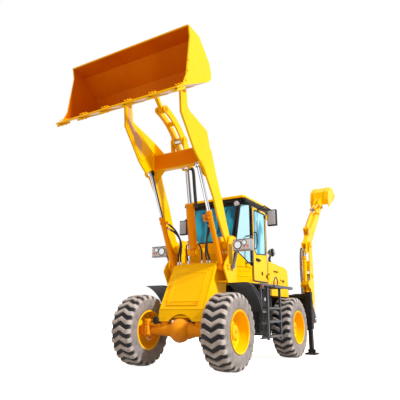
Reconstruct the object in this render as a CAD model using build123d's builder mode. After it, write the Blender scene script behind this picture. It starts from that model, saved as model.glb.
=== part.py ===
"""Compact backhoe loader: rigid chassis, Z-bar loader in front, sliding backhoe behind.

Millimetres. +X is forward, +Y is the machine's left and +Z is up. The origin is on the ground in
the middle of the parked machine. Heights are above the ground. Fore-and-aft stations are measured
from the middle between the axles, and the planes side(), level() and across() move them to the
origin's frame. Points written as (x, z) lie in the machine's side view.
"""
from build123d import *
import os
from math import atan2, cos, degrees, hypot, radians, sin

os.makedirs("parts", exist_ok=True)

# ---- driving dimensions ----
MID_X = 1015.65         # the middle between the axles stands this far ahead of the origin
AXLE_X = 1350.0         # either axle, from the middle between them
WHEEL_Y = 850.0         # wheel centres, from the centreline
TYRE_R = 587.5          # 16/70-24 tyre, to the lugs' tips
TYRE_W = 410.0
RIM_R = 318.0
LUGS = 24
LUG_DEPTH = 34.0
PIN_R = 28.0            # pivot pins
PIN_GAP = 5.0           # between a pin and the bore of the piece that turns on it
ROD_GAP = 1.5           # between a rod and its gland
HANDS = (1, -1)         # left side, right side

# loader pins, (x, z), with the arm raised
ARM_PIVOT = (680.0, 2030.0)
BUCKET_HINGE = (2280.0, 4410.0)
LIFT_FOOT = (900.0, 1620.0)
LIFT_HEAD = (1670.0, 3260.0)
TILT_FOOT = (1000.0, 1900.0)
ROCKER_FOOT = (1250.0, 3420.0)
ROCKER_PIVOT = (1520.0, 3820.0)
ROCKER_HEAD = (2060.0, 4200.0)
BUCKET_LUG = (2436.0, 4604.0)
ARM_Y = 562.0           # middle of a loader arm plate
ARM_T = 34.0
LIFT_Y = 488.0
INNER_Y = 410.0         # tower plates, inner and outer
OUTER_Y = 612.0

# backhoe pins, (x, z), with the hoe folded up beside the centreline
HOE_Y = 780.0
SWING_X = -2640.0
BOOM_PIVOT = (-2930.0, 720.0)
DIPPER_PIVOT = (-3020.0, 2500.0)
HOE_BUCKET_PIVOT = (-4350.0, 3730.0)
BOOM_RAM_FOOT = (-2755.0, 1040.0)
BOOM_RAM_HEAD = (-3020.0, 1750.0)
CROWD_FOOT = (-2745.0, 1530.0)
CROWD_HEAD = (-2796.0, 2331.0)

# cab plan: half the outline, (x, y), and its heights
CAB_PLAN = [(380, 470), (50, 690), (-680, 690), (-950, 480)]
CAB_FLOOR = 1380.0
CAB_BELT = 2150.0
CAB_TOP = 2900.0
SCREEN_TOP = (255, 553)


# ---- planes and small forms ----
def side(y=0.0):
    """Upright plane along the machine at y: local x forward, local y up."""
    return Plane(origin=(MID_X, y, 0), x_dir=(1, 0, 0), z_dir=(0, -1, 0))


def level(z=0.0):
    """Flat plane at height z: local x forward, local y to the left."""
    return Plane(origin=(MID_X, 0, z), x_dir=(1, 0, 0), z_dir=(0, 0, 1))


def across(x=0.0):
    """Upright plane across the machine at x: local x to the left, local y up."""
    return Plane(origin=(MID_X + x, 0, 0), x_dir=(0, 1, 0), z_dir=(1, 0, 0))


def spot(x, y, z):
    """A point given by its station, side and height."""
    return Vector(MID_X + x, y, z)


def pin_at(p, y):
    """Plane at side-view point p and side y, with its normal along +Y."""
    return Plane(origin=(MID_X + p[0], y, p[1]), x_dir=(1, 0, 0), z_dir=(0, 1, 0))


def along(a, b, y, start=0.0):
    """Plane start mm from side-view point a, with its normal towards point b."""
    run = hypot(b[0] - a[0], b[1] - a[1])
    way = ((b[0] - a[0]) / run, 0, (b[1] - a[1]) / run)
    return Plane(origin=(MID_X + a[0] + start * way[0], y, a[1] + start * way[2]),
                 x_dir=(0, 1, 0), z_dir=way)


def span(p, q):
    """Plane at p, with its normal towards q, both (x, y, z)."""
    return Plane(origin=spot(*p), z_dir=spot(*q) - spot(*p))


def distance(a, b):
    return hypot(*(j - i for i, j in zip(a, b)))


FROM_START = (Align.CENTER, Align.CENTER, Align.MIN)


def barrel(foot, head, y, radius, length, rod_radius, eye=(62.0, 70.0)):
    """Hydraulic barrel: a bored tube with a gland at its mouth and a bored eye at its foot."""
    eye_radius, eye_width = eye
    start = eye_radius + 8.0
    gland = 55.0
    with BuildPart() as tube:
        with Locations(pin_at(foot, y)):
            Cylinder(eye_radius, eye_width)
        with Locations(along(foot, head, y)):
            Cylinder(eye_width / 2 - 3, start + 10.0, align=FROM_START)
        with Locations(along(foot, head, y, start)):
            Cylinder(radius, length - start, align=FROM_START)
        with Locations(along(foot, head, y, length - gland)):
            Cylinder(radius + 7.0, gland, align=FROM_START)
        with Locations(along(foot, head, y, start + 18.0)):
            Cylinder(radius - 10.0, length - start - 18.0 - gland + 10.0, align=FROM_START,
                     mode=Mode.SUBTRACT)
        with Locations(along(foot, head, y, length - gland)):
            Cylinder(rod_radius + ROD_GAP, gland + 10.0, align=FROM_START, mode=Mode.SUBTRACT)
        with Locations(pin_at(foot, y)):
            Cylinder(PIN_R + PIN_GAP, eye_width + 10.0, mode=Mode.SUBTRACT)
    return tube.part


def rod(foot, head, y, radius, tail, eye=(50.0, 60.0)):
    """Hydraulic rod with an eye at its head; its tail is this far from the barrel's foot pin."""
    eye_radius, eye_width = eye
    with BuildPart() as bar:
        with Locations(along(foot, head, y, tail)):
            Cylinder(radius, distance(foot, head) - tail, align=FROM_START)
        with Locations(pin_at(head, y)):
            Cylinder(eye_radius, eye_width)
            Cylinder(PIN_R, eye_width + 10.0, mode=Mode.SUBTRACT)
    return bar.part


# ---- wheels ----
# half the tyre's section, (distance from its middle plane, radius)
TYRE_SECTION = [(158, RIM_R), (190, 352), (205, 430), (200, 500), (178, 545), (130, 556)]
# half the rim's outline: barrel, outer flange, dished disc and hub, (distance, radius)
RIM_SECTION = [(-178, 300), (-178, 328), (-171, 328), (-163, RIM_R), (163, RIM_R), (171, 328),
               (200, 328), (200, 316), (165, 302), (40, 286), (22, 270), (22, 170), (48, 140),
               (60, 112), (112, 96), (122, 40), (122, 0), (-30, 0), (-30, 120), (0, 150),
               (0, 270), (-14, 288), (-24, 300)]
LUG_OUTLINE = [(-200, -50), (-118, -62), (0, 4), (118, -62), (200, -50),
               (200, 34), (118, 22), (0, 88), (-118, 22), (-200, 34)]

with BuildPart() as tyre_form:
    with BuildSketch(Plane.YZ):
        Polygon(*[(-y, r) for y, r in TYRE_SECTION] + TYRE_SECTION[::-1], align=None)
    revolve(axis=Axis.Y)
    with BuildSketch(Plane.XY.offset(TYRE_R - LUG_DEPTH - 16)):
        Polygon(*[(s, y) for y, s in LUG_OUTLINE], align=None)
    lug = extrude(amount=LUG_DEPTH + 20, mode=Mode.PRIVATE)
    with Locations(*[Plane.XY.rotated((0, i * 360 / LUGS, 0)) for i in range(LUGS)]):
        add(lug)
    with Locations(Plane.XZ):
        Cylinder(TYRE_R, TYRE_W + 20, mode=Mode.INTERSECT)

with BuildPart() as rim_form:
    with BuildSketch(Plane.YZ):
        Polygon(*RIM_SECTION, align=None)
    revolve(axis=Axis.Y)

# name, axle side (front 1, rear -1), hand
WHEELS = [("front_left", 1, 1), ("front_right", 1, -1), ("rear_left", -1, 1), ("rear_right", -1, -1)]
for name, end, hand in WHEELS:
    centre = Plane(origin=spot(end * AXLE_X, hand * WHEEL_Y, TYRE_R), x_dir=(hand, 0, 0), z_dir=(0, 0, 1))
    with BuildPart() as tyre:
        with Locations(centre):
            add(tyre_form.part)
    tyre.part.label = f"tyre_{name}"
    export_step(tyre.part, f"parts/tyre_{name}.step")
    with BuildPart() as rim:
        with Locations(centre):
            add(rim_form.part)
    rim.part.label = f"rim_{name}"
    export_step(rim.part, f"parts/rim_{name}.step")

# ---- front axle: differential ball, tapering tubes, brake discs and hubs ----
FRONT_TUBE = [(0, 150), (150, 132), (260, 100), (600, 78), (600, 118), (640, 118), (640, 160),
              (668, 160), (668, 100), (815, 88), (815, 0), (0, 0)]
with BuildPart() as front_axle:
    with BuildSketch(Plane(origin=spot(AXLE_X, 0, TYRE_R), x_dir=(0, 1, 0), z_dir=(1, 0, 0))):
        Polygon(*FRONT_TUBE, align=None)
    revolve(axis=Axis(spot(AXLE_X, 0, TYRE_R), (0, 1, 0)))
    mirror(about=Plane.XZ)
    with Locations(spot(AXLE_X + 60, 0, TYRE_R)):
        Sphere(187)
    for hand in HANDS:
        with Locations(spot(AXLE_X - 15, hand * 330, 722)):
            Box(130, 120, 135)
front_axle.part.label = "front_axle"
export_step(front_axle.part, "parts/front_axle.step")

# ---- rear axle: the same ball on a shorter beam, with a yoke for each steering knuckle ----
KINGPIN_Y = 620.0
with BuildPart() as rear_axle:
    with BuildSketch(Plane(origin=spot(-AXLE_X, 0, TYRE_R), x_dir=(0, 1, 0), z_dir=(1, 0, 0))):
        Polygon((0, 150), (150, 132), (250, 95), (505, 80), (505, 0), (0, 0), align=None)
    revolve(axis=Axis(spot(-AXLE_X, 0, TYRE_R), (0, 1, 0)))
    mirror(about=Plane.XZ)
    with Locations(spot(-AXLE_X - 50, 0, TYRE_R)):
        Sphere(175)
    for hand in HANDS:
        with Locations(spot(-AXLE_X, hand * 515, TYRE_R)):
            Box(150, 30, 340)
        for rise in (-155, 155):
            with Locations(spot(-AXLE_X, hand * 590, TYRE_R + rise)):
                Box(120, 150, 30)
        with Locations(spot(-AXLE_X, hand * 290, 695)):
            Box(160, 100, 90)
rear_axle.part.label = "rear_axle"
export_step(rear_axle.part, "parts/rear_axle.step")

for name, hand in (("left", 1), ("right", -1)):
    with BuildPart() as knuckle:
        with Locations(spot(-AXLE_X, hand * KINGPIN_Y, TYRE_R)):
            Cylinder(56, 268)
        with BuildSketch(Plane(origin=spot(-AXLE_X, hand * KINGPIN_Y, TYRE_R), x_dir=(0, hand, 0),
                               z_dir=(hand, 0, 0))):
            Polygon((0, 70), (70, 74), (84, 150), (112, 150), (112, 92), (195, 84), (195, 0), (0, 0),
                    align=None)
        revolve(axis=Axis(spot(-AXLE_X, 0, TYRE_R), (0, 1, 0)))
    knuckle.part.label = f"knuckle_{name}"
    export_step(knuckle.part, f"parts/knuckle_{name}.step")

# ---- chassis: two box rails and their cross members ----
RAIL_Y = 290.0
with BuildPart() as chassis_rails:
    for hand in HANDS:
        with Locations(spot(-780, hand * RAIL_Y, 850)):
            Box(2760, 60, 220)
    for x, width, low, high in ((-2130, 60, 740, 960), (-700, 70, 760, 940), (-60, 70, 760, 940),
                                (520, 70, 760, 940)):
        with Locations(spot(x, 0, (low + high) / 2)):
            Box(width, 2 * RAIL_Y, high - low)
    for x in (-880, -80):
        with Locations(spot(x, 0, 1170)):
            Box(70, 2 * RAIL_Y + 60, 420)
chassis_rails.part.label = "chassis_rails"
export_step(chassis_rails.part, "parts/chassis_rails.step")

# ---- front tower: inner plates that run down to the axle, outer plates round the lift pins ----
INNER_PLATE = [(600, 740), (1405, 740), (1368, 915), (945, 1672), (890, 1740), (870, 2020),
               (835, 2150), (770, 2180), (600, 2180), (580, 2120),
               (580, 1900), (620, 1500)]
OUTER_PLATE = [(600, 1372), (912, 1372), (1045, 1590), (1000, 1690), (880, 1810), (870, 2020),
               (835, 2150), (770, 2180), (600, 2180), (580, 2120), (580, 1900)]
TOWER_T = 24.0
with BuildPart() as front_tower:
    for hand in HANDS:
        with BuildSketch(side(hand * INNER_Y)):
            Polygon(*INNER_PLATE, align=None)
        extrude(amount=TOWER_T / 2, both=True)
        with BuildSketch(side(hand * OUTER_Y)):
            Polygon(*OUTER_PLATE, align=None)
        extrude(amount=TOWER_T / 2, both=True)
        for x, z, long, high in ((760, 1384, 320, 24), (612, 1640, 24, 500)):
            with Locations(spot(x, hand * (INNER_Y + OUTER_Y) / 2, z)):
                Box(long, OUTER_Y - INNER_Y, high)
        with Locations(pin_at(ARM_PIVOT, hand * (INNER_Y + OUTER_Y) / 2)):
            Cylinder(PIN_R, OUTER_Y - INNER_Y + TOWER_T + 20)
        with Locations(pin_at(LIFT_FOOT, hand * (LIFT_Y - 25))):
            Cylinder(PIN_R, 150)
        for pin in (ARM_PIVOT, LIFT_FOOT):
            with Locations(pin_at(pin, hand * (OUTER_Y + TOWER_T / 2 + 6))):
                Cylinder(PIN_R + 16, 12)
    with Locations(spot(640, 0, 1965)):
        Box(70, 2 * INNER_Y, 130)
    with Locations(spot(640, 0, 1450)):
        Box(60, 2 * INNER_Y, 300)
    with Locations(spot(612, 0, 900)):
        Box(24, 2 * INNER_Y, 320)
    for y in (-62, 62):
        with BuildSketch(side(y)):
            Polygon((620, 1910), (930, 1835), (1000, 1836), (1055, 1870), (1064, 1900), (1045, 1945),
                    (1000, 1964), (675, 2025), align=None)
        extrude(amount=12, both=True)
    with Locations(pin_at(TILT_FOOT, 0)):
        Cylinder(PIN_R, 170)
    with Locations(spot(1335, 0, 805)):
        Box(110, 2 * INNER_Y, 30)
front_tower.part.label = "front_tower"
export_step(front_tower.part, "parts/front_tower.step")

# ---- nose cover: a folded sheet in front of the tower, with an arch over the axle ----
COVER_Y = 438.0
COVER_T = 14.0
NOSE_FOOT = (1438, 730)
NOSE_KNEE = (1398, 925)
NOSE_HEAD = (975, 1690)
with BuildPart() as front_cover:
    with BuildSketch(side(0)):
        Polygon(NOSE_FOOT, NOSE_KNEE, NOSE_HEAD, (NOSE_HEAD[0] - 14, NOSE_HEAD[1] - 6),
                (NOSE_KNEE[0] - COVER_T, NOSE_KNEE[1] - 4), (NOSE_FOOT[0] - COVER_T, NOSE_FOOT[1]), align=None)
    extrude(amount=COVER_Y, both=True)
    with BuildSketch(side(0)):
        Polygon(NOSE_HEAD, (700, 1760), (700, 1746), (NOSE_HEAD[0] - 16, NOSE_HEAD[1] - 10), align=None)
    extrude(amount=INNER_Y - TOWER_T / 2 - 4, both=True)
    with BuildSketch(across(1300)):
        with Locations((0, 560)):
            Circle(285)
    extrude(amount=300, mode=Mode.SUBTRACT)
    with BuildSketch(Plane(origin=spot((NOSE_KNEE[0] + NOSE_HEAD[0]) / 2, 0, (NOSE_KNEE[1] + NOSE_HEAD[1]) / 2),
                           x_dir=(0, 1, 0), z_dir=(NOSE_HEAD[1] - NOSE_KNEE[1], 0, NOSE_KNEE[0] - NOSE_HEAD[0]))):
        RectangleRounded(700, 600, 30)
    extrude(amount=8)
    for hand in HANDS:
        with BuildSketch(side(hand * (COVER_Y - 7))):
            Polygon((1430, 735), (1390, 922), (970, 1680), (930, 1680), (1345, 905), (1385, 735), align=None)
        extrude(amount=6.5, both=True)
front_cover.part.label = "front_cover"
export_step(front_cover.part, "parts/front_cover.step")

# ---- engine: one plain block between the rails ----
with BuildPart() as engine_block:
    with Locations(spot(-1480, 0, 1340)):
        Box(900, 500, 700)
engine_block.part.label = "engine_block"
export_step(engine_block.part, "parts/engine_block.step")

# ---- engine hood: a rounded shell, open below, with a vent slot in each side ----
HOOD_Y = 580.0
with BuildPart() as engine_hood:
    with BuildSketch(side(0)):
        Polygon((-965, 1215), (-965, 1905), (-1100, 1905), (-1960, 1845), (-2070, 1800), (-2110, 1700),
                (-2120, 1215), align=None)
    extrude(amount=HOOD_Y, both=True)
    fillet(engine_hood.edges().group_by(Axis.Z)[-1].filter_by(Axis.X, reverse=True).sort_by(Axis.Y)[:1]
           + engine_hood.edges().group_by(Axis.Z)[-1].filter_by(Axis.X, reverse=True).sort_by(Axis.Y)[-1:],
           radius=10)
    offset(amount=-24, openings=engine_hood.faces().sort_by(Axis.Z)[:1])
    for hand in HANDS:
        with Locations(spot(-1400, hand * HOOD_Y, 1720)):
            Box(280, 120, 30, mode=Mode.SUBTRACT)
engine_hood.part.label = "engine_hood"
export_step(engine_hood.part, "parts/engine_hood.step")


# ---- cab ----
def plan(points, inset=0.0):
    """Both halves of a plan outline, drawn in by inset mm."""
    half = [(x - inset if x > 0 else x + inset, y - inset) for x, y in points]
    return half + [(x, -y) for x, y in half[::-1]]


WALL = 30.0
DOOR_X = (-650.0, 40.0)
SILL = 1430.0
with BuildPart() as cab_body:
    with BuildSketch(level(CAB_FLOOR)):
        Polygon(*plan(CAB_PLAN), align=None)
    extrude(amount=CAB_BELT - CAB_FLOOR)
    with BuildSketch(level(CAB_FLOOR + WALL)):
        Polygon(*plan(CAB_PLAN, WALL), align=None)
    extrude(amount=CAB_BELT, mode=Mode.SUBTRACT)
    with BuildSketch(side(0)):
        Polygon((349, 2300), (349, 1985), (60, 1700), (60, SILL), (-655, SILL), (-655, 1930), (-1100, 1930),
                (-1100, 2300), align=None)
    extrude(amount=900, both=True, mode=Mode.SUBTRACT)
cab_body.part.label = "cab_body"
export_step(cab_body.part, "parts/cab_body.step")

# foot and head of each left pillar and rail, then its width and depth
CAB_BARS = [((345, 460, 1960), (236, 538, 2905), 44, 44),
            ((34, 655, 1660), (34, 655, 2905), 36, 36),
            ((-668, 655, 1400), (-668, 655, 2905), 30, 30),
            ((-930, 466, 1900), (-930, 466, 2905), 36, 36),
            ((240, 0, 2905), (240, 560, 2905), 60, 44),
            ((240, 540, 2905), (38, 655, 2905), 60, 44),
            ((52, 648, 2905), (-682, 648, 2905), 60, 44),
            ((-668, 648, 2905), (-930, 466, 2905), 60, 44),
            ((-930, 0, 2905), (-930, 485, 2905), 60, 44)]
with BuildPart() as cab_frame:
    for foot, head, wide, deep in CAB_BARS:
        with BuildSketch(span(foot, head)):
            Rectangle(wide, deep)
        extrude(amount=distance(foot, head))
    mirror(about=Plane.XZ)
    add(cab_body.part, mode=Mode.SUBTRACT)
cab_frame.part.label = "cab_frame"
export_step(cab_frame.part, "parts/cab_frame.step")

ROOF_PLAN = [(300, 640), (262, 682), (-945, 682), (-985, 645)]
with BuildPart() as cab_roof:
    with BuildSketch(level(2940)):
        Polygon(*plan(ROOF_PLAN), align=None)
    extrude(amount=76)
    with BuildSketch(level(3016)):
        Polygon(*plan(ROOF_PLAN, 22), align=None)
    extrude(amount=28, taper=30)
cab_roof.part.label = "cab_roof"
export_step(cab_roof.part, "parts/cab_roof.step")

GLASS_T = 6.0
slope = Plane(origin=spot(362, 0, 2155), x_dir=(0, 1, 0), z_dir=(750, 0, 112))
with BuildPart() as cab_glass:
    with BuildSketch(slope):
        Polygon((-432, 0), (432, 0), (505, 715), (-505, 715), align=None)
    extrude(amount=GLASS_T / 2, both=True)
    for hand in HANDS:
        corner = Plane(origin=spot(CAB_PLAN[0][0] - 8, hand * (CAB_PLAN[0][1] - 12), 0),
                       x_dir=(-330, hand * 220, 0), z_dir=(hand * 220 * hand, hand * 330, 0))
        reach = 1 if hand > 0 else -1
        with BuildSketch(Plane(origin=corner.origin, x_dir=(-330, hand * 220, 0), z_dir=(220, hand * 330, 0))):
            Polygon(*[(u, reach * z) for u, z in ((48, 2010), (360, 1712), (360, 2870), (184, 2870),
                                                  (60, 2080))], align=None)
        extrude(amount=GLASS_T / 2, both=True)
        with BuildSketch(Plane(origin=spot(-685, hand * 655, 0), x_dir=(-262, -hand * 198, 0),
                               z_dir=(-198, hand * 262, 0))):
            Polygon(*[(u, reach * z) for u, z in ((24, 1936), (290, 1936), (290, 2870), (24, 2870))],
                    align=None)
        extrude(amount=GLASS_T / 2, both=True)
    with BuildSketch(across(-932)):
        Polygon((-446, 1936), (446, 1936), (446, 2870), (-446, 2870), align=None)
    extrude(amount=GLASS_T / 2, both=True)
    add(cab_frame.part, mode=Mode.SUBTRACT)
    add(cab_body.part, mode=Mode.SUBTRACT)
cab_glass.part.label = "cab_glass"
export_step(cab_glass.part, "parts/cab_glass.step")

# seat, steering column and wheel, and a lever console
with BuildPart() as driver_seat:
    with BuildSketch(side(0)):
        Polygon((-640, CAB_FLOOR + WALL), (-640, 1700), (-150, 1720), (-130, 1800), (-520, 1810), (-640, 2420),
                (-700, 2560), (-770, 2540), (-700, 1700), (-700, CAB_FLOOR + WALL), align=None)
    extrude(amount=240, both=True)
    with Locations(spot(-420, 0, 1555)):
        Box(300, 300, 290)
driver_seat.part.label = "driver_seat"
export_step(driver_seat.part, "parts/driver_seat.step")

with BuildPart() as cab_controls:
    with BuildSketch(side(0)):
        Polygon((345, CAB_FLOOR + WALL), (345, 1980), (290, 2000), (210, 1930), (190, CAB_FLOOR + WALL), align=None)
    extrude(amount=150, both=True)
    with BuildSketch(Plane(origin=spot(230, 0, 1930), z_dir=(-0.5, 0, 0.86))):
        Circle(26)
    extrude(amount=200)
    with Locations(Plane(origin=spot(130, 0, 2102), z_dir=(-0.5, 0, 0.86))):
        Torus(190, 14)
        Box(380, 30, 14)
    for hand in HANDS:
        with Locations(spot(-180, hand * 330, 1600)):
            Box(420, 110, 380)
cab_controls.part.label = "cab_controls"
export_step(cab_controls.part, "parts/cab_controls.step")

# ---- doors: a pressed frame each, hinged at the rear edge, with its pane ----
DOOR_TOP = 2868.0
DOOR_Y = 690.0
for name, hand in (("left", 1), ("right", -1)):
    with BuildPart() as door:
        with BuildSketch(side(hand * DOOR_Y)):
            Polygon((-640, SILL + 8), (30, SILL + 8), (30, DOOR_TOP - 60), (-20, DOOR_TOP), (-640, DOOR_TOP),
                    align=None)
            Polygon((-575, 1985), (-575, DOOR_TOP - 60), (-70, DOOR_TOP - 60), (-40, DOOR_TOP - 110),
                    (-40, 2010), (-120, 1950), align=None, mode=Mode.SUBTRACT)
        extrude(amount=12, both=True)
        for z in (1560, 2760):
            with Locations(spot(-652, hand * (DOOR_Y + 30), z)):
                Cylinder(14, 110)
            with Locations(spot(-630, hand * (DOOR_Y + 24), z)):
                Box(44, 12, 70)
    door.part.label = f"door_{name}"
    export_step(door.part, f"parts/door_{name}.step")
    with BuildPart() as pane:
        with BuildSketch(side(hand * DOOR_Y)):
            Polygon((-574, 1986), (-574, DOOR_TOP - 61), (-71, DOOR_TOP - 61), (-41, DOOR_TOP - 111),
                    (-41, 2011), (-121, 1951), align=None)
        extrude(amount=GLASS_T / 2, both=True)
    pane.part.label = f"door_glass_{name}"
    export_step(pane.part, f"parts/door_glass_{name}.step")

# ---- side decks with the front fenders, the tanks and steps under them, and the handrails ----
DECK_Z = 1340.0
with BuildPart() as side_decks:
    for hand in HANDS:
        with Locations(spot(-330, hand * 800, DECK_Z + 10)):
            Box(1580, 400, 20)
        with Locations(spot(745, hand * 835, DECK_Z + 2)):
            Box(570, 360, 12)
        with BuildSketch(side(hand * 835)):
            with BuildLine():
                ThreePointArc((1030, 1346), (700, 1200), (430, 880))
                Line((430, 880), (416, 886))
                ThreePointArc((416, 886), (690, 1214), (1022, 1348))
                Line((1022, 1348), (1030, 1346))
            make_face()
        extrude(amount=180, both=True)
        with BuildSketch(side(hand * 1009)):
            with BuildLine():
                ThreePointArc((1030, 1346), (700, 1200), (430, 880))
                Line((430, 880), (404, 892))
                ThreePointArc((404, 892), (676, 1240), (985, 1348))
                Line((985, 1348), (1030, 1346))
            make_face()
        extrude(amount=6, both=True)
        with Locations(spot(700, hand * 640, 1348)):
            Box(120, 32, 24)
        for x in (-880, -80):
            with Locations(spot(x, hand * 480, 1325)):
                Box(60, 258, 30)
side_decks.part.label = "side_decks"
export_step(side_decks.part, "parts/side_decks.step")

with BuildPart() as side_tanks:
    for hand in HANDS:
        with BuildSketch(side(hand * 610)):
            Polygon((-60, 470), (-20, 520), (-20, 1300), (-560, 1300), (-560, 520), (-520, 470), align=None)
        extrude(amount=160, both=True)
        with Locations(spot(-290, hand * 385, 860)):
            Box(300, 130, 60)
        with Locations(spot(120, hand * 900, 1285)):
            Cylinder(30, 96)
            Cylinder(46, 30)
side_tanks.part.label = "side_tanks"
export_step(side_tanks.part, "parts/side_tanks.step")

TREADS = (460.0, 715.0, 950.0)
with BuildPart() as access_steps:
    for hand in HANDS:
        for x in (30, -580):
            with Locations(spot(x, hand * 950, (400 + DECK_Z) / 2)):
                Box(40, 40, DECK_Z - 400)
        for z in TREADS:
            with Locations(spot(-275, hand * 890, z)):
                Box(570, 160, 20)
            with Locations(spot(-275, hand * 800, z - 40)):
                Box(570, 60, 20)
            with Locations(spot(-275, hand * 815, z - 20)):
                Box(570, 20, 50)
        with Locations(spot(-640, hand * 1016, 1345)):
            Box(960, 30, 50)
        with BuildSketch(Plane(origin=spot(170, hand * 620, 1760), x_dir=(1, 0, 0), z_dir=(0, hand, 0))):
            Circle(13)
        rail_plane = Plane(origin=spot(170, hand * 620, 0), x_dir=(0, hand, 0), z_dir=(hand, 0, 0))
        with BuildLine(rail_plane) as rail:
            FilletPolyline((0, 1760), (130, 1760), (130, 2260), (0, 2260), radius=50)
        sweep()
access_steps.part.label = "access_steps"
export_step(access_steps.part, "parts/access_steps.step")

# ---- lamps and mirrors ----
with BuildPart() as lamps:
    for hand in HANDS:
        with Locations(spot(800, hand * 865, 1990)):
            Box(110, 330, 190)
        with BuildSketch(span((770, hand * 740, 1930), (760, hand * 655, 1640))):
            Circle(20)
        extrude(amount=distance((770, 740, 1930), (760, 655, 1640)))
        with Locations(spot(760, hand * 650, 1640)):
            Box(70, 50, 70)
        with Locations(spot(-800, hand * 740, 2056)):
            Sphere(78)
        with BuildSketch(span((-800, hand * 740, 2056), (-720, hand * 660, 2056))):
            Circle(16)
        extrude(amount=distance((-800, 740, 0), (-720, 660, 0)))
        with Locations(spot(-1150, hand * 960, 1345)):
            Box(60, 60, 50)
lamps.part.label = "lamps"
export_step(lamps.part, "parts/lamps.step")

# each mirror hangs from its door's top rail, so that the door can swing open past it
for name, hand in (("left", 1), ("right", -1)):
    elbow = (-235, hand * 850, 2900)
    with BuildPart() as mirror_arm:
        with Locations(spot(-220, hand * 1010, 2640)):
            Box(60, 180, 310)
        for a, b in (((-240, hand * 706, 2835), elbow), (elbow, (-222, hand * 1000, 2790))):
            with BuildSketch(span(a, b)):
                Circle(11)
            extrude(amount=distance(a, b))
        with Locations(spot(-240, hand * 708, 2835)):
            Box(70, 10, 44)
        with Locations(spot(*elbow)):
            Sphere(12)
    mirror_arm.part.label = f"mirror_{name}"
    export_step(mirror_arm.part, f"parts/mirror_{name}.step")

# ---- rear frame: two cross rails for the hoe's carriage and the stabilisers' outer boxes ----
STAB_X = -2255.0
STAB_Y = 990.0
with BuildPart() as hoe_slide_frame:
    for z in (560, 1230):
        with Locations(spot(-2340, 0, z)):
            Box(80, 2 * STAB_Y, 90)
    for hand in HANDS:
        with Locations(spot(STAB_X - 15, hand * STAB_Y, 920)):
            Box(150, 120, 780)
            Box(126, 96, 840, mode=Mode.SUBTRACT)
        with Locations(spot(-2245, hand * RAIL_Y, 895)):
            Box(170, 40, 760)
    with Locations(spot(-2310, 0, 895)):
        Box(20, 2 * RAIL_Y, 760)
hoe_slide_frame.part.label = "hoe_slide_frame"
export_step(hoe_slide_frame.part, "parts/hoe_slide_frame.step")

for name, hand in (("left", 1), ("right", -1)):
    with BuildPart() as leg:
        with Locations(spot(STAB_X - 15, hand * STAB_Y, 485)):
            Box(112, 82, 850)
        with Locations(spot(STAB_X - 15, hand * STAB_Y, 75)):
            Box(60, 140, 70)
        with Locations(spot(STAB_X - 15, hand * STAB_Y, 20)):
            Box(260, 230, 40)
    leg.part.label = f"stabiliser_leg_{name}"
    export_step(leg.part, f"parts/stabiliser_leg_{name}.step")

# ---- loader arm: two bent plates, a cross box, gussets and the rocker's ears ----
ARM_PLATE = [(600, 2080), (590, 1980), (660, 1930), (750, 1940), (929, 2120), (1173, 2480), (1302, 2760),
             (1618, 3190), (1830, 3340), (1925, 3420), (2330, 3930), (2370, 4400), (2330, 4480),
             (2230, 4480), (2190, 4400), (2150, 4090), (1834, 3860), (1474, 3650), (1370, 3560),
             (1224, 3200), (1025, 2820), (885, 2480), (754, 2190)]
BOX_FACE = 1560.0
with BuildPart() as loader_arm:
    for hand in HANDS:
        with BuildSketch(side(hand * ARM_Y)):
            Polygon(*ARM_PLATE, align=None)
        extrude(amount=ARM_T / 2, both=True)
        with Locations(pin_at(ARM_PIVOT, hand * 515)):
            Cylinder(92, 160)
            Cylinder(PIN_R + PIN_GAP, 180, mode=Mode.SUBTRACT)
        with Locations(pin_at(BUCKET_HINGE, hand * ARM_Y)):
            Cylinder(66, 70)
            Cylinder(PIN_R + PIN_GAP, 90, mode=Mode.SUBTRACT)
        with Locations(pin_at(LIFT_HEAD, hand * (ARM_Y - 10))):
            Cylinder(62, 44)
        for low, high, tip in ((3620, 3900, (1640, 3950)), (3340, 3060, (1420, 3000))):
            with BuildSketch(Plane(origin=spot(1500, 0, 0), x_dir=(0, hand, 0), z_dir=(hand, 0, 0))):
                Polygon((545, low), (300, low), (545, high), align=None)
            extrude(amount=9, both=True)
    with Locations(spot(BOX_FACE - 52, 0, 3480)):
        Box(104, 2 * ARM_Y, 300)
    for y in (-130, 130):
        with BuildSketch(side(y)):
            Polygon((1456, 3610), (1560, 3610), (1585, 3830), (1555, 3880), (1485, 3880), (1455, 3830), align=None)
        extrude(amount=10, both=True)
    with Locations(pin_at(ROCKER_PIVOT, 0)):
        Cylinder(PIN_R, 290)
loader_arm.part.label = "loader_arm"
export_step(loader_arm.part, "parts/loader_arm.step")

# ---- lift and tilt cylinders ----
with BuildPart() as lift_barrels:
    for hand in HANDS:
        add(barrel(LIFT_FOOT, LIFT_HEAD, hand * LIFT_Y, 45, 1010, 32, eye=(60.0, 90.0)))
lift_barrels.part.label = "lift_barrels"
export_step(lift_barrels.part, "parts/lift_barrels.step")

with BuildPart() as lift_rods:
    for hand in HANDS:
        add(rod(LIFT_FOOT, LIFT_HEAD, hand * LIFT_Y, 32, 780, eye=(52.0, 80.0)))
lift_rods.part.label = "lift_rods"
export_step(lift_rods.part, "parts/lift_rods.step")

with BuildPart() as tilt_barrel:
    add(barrel(TILT_FOOT, ROCKER_FOOT, 0, 70, 860, 38, eye=(72.0, 88.0)))
tilt_barrel.part.label = "tilt_barrel"
export_step(tilt_barrel.part, "parts/tilt_barrel.step")

with BuildPart() as tilt_rod:
    add(rod(TILT_FOOT, ROCKER_FOOT, 0, 38, 560, eye=(56.0, 80.0)))
tilt_rod.part.label = "tilt_rod"
export_step(tilt_rod.part, "parts/tilt_rod.step")

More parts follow.
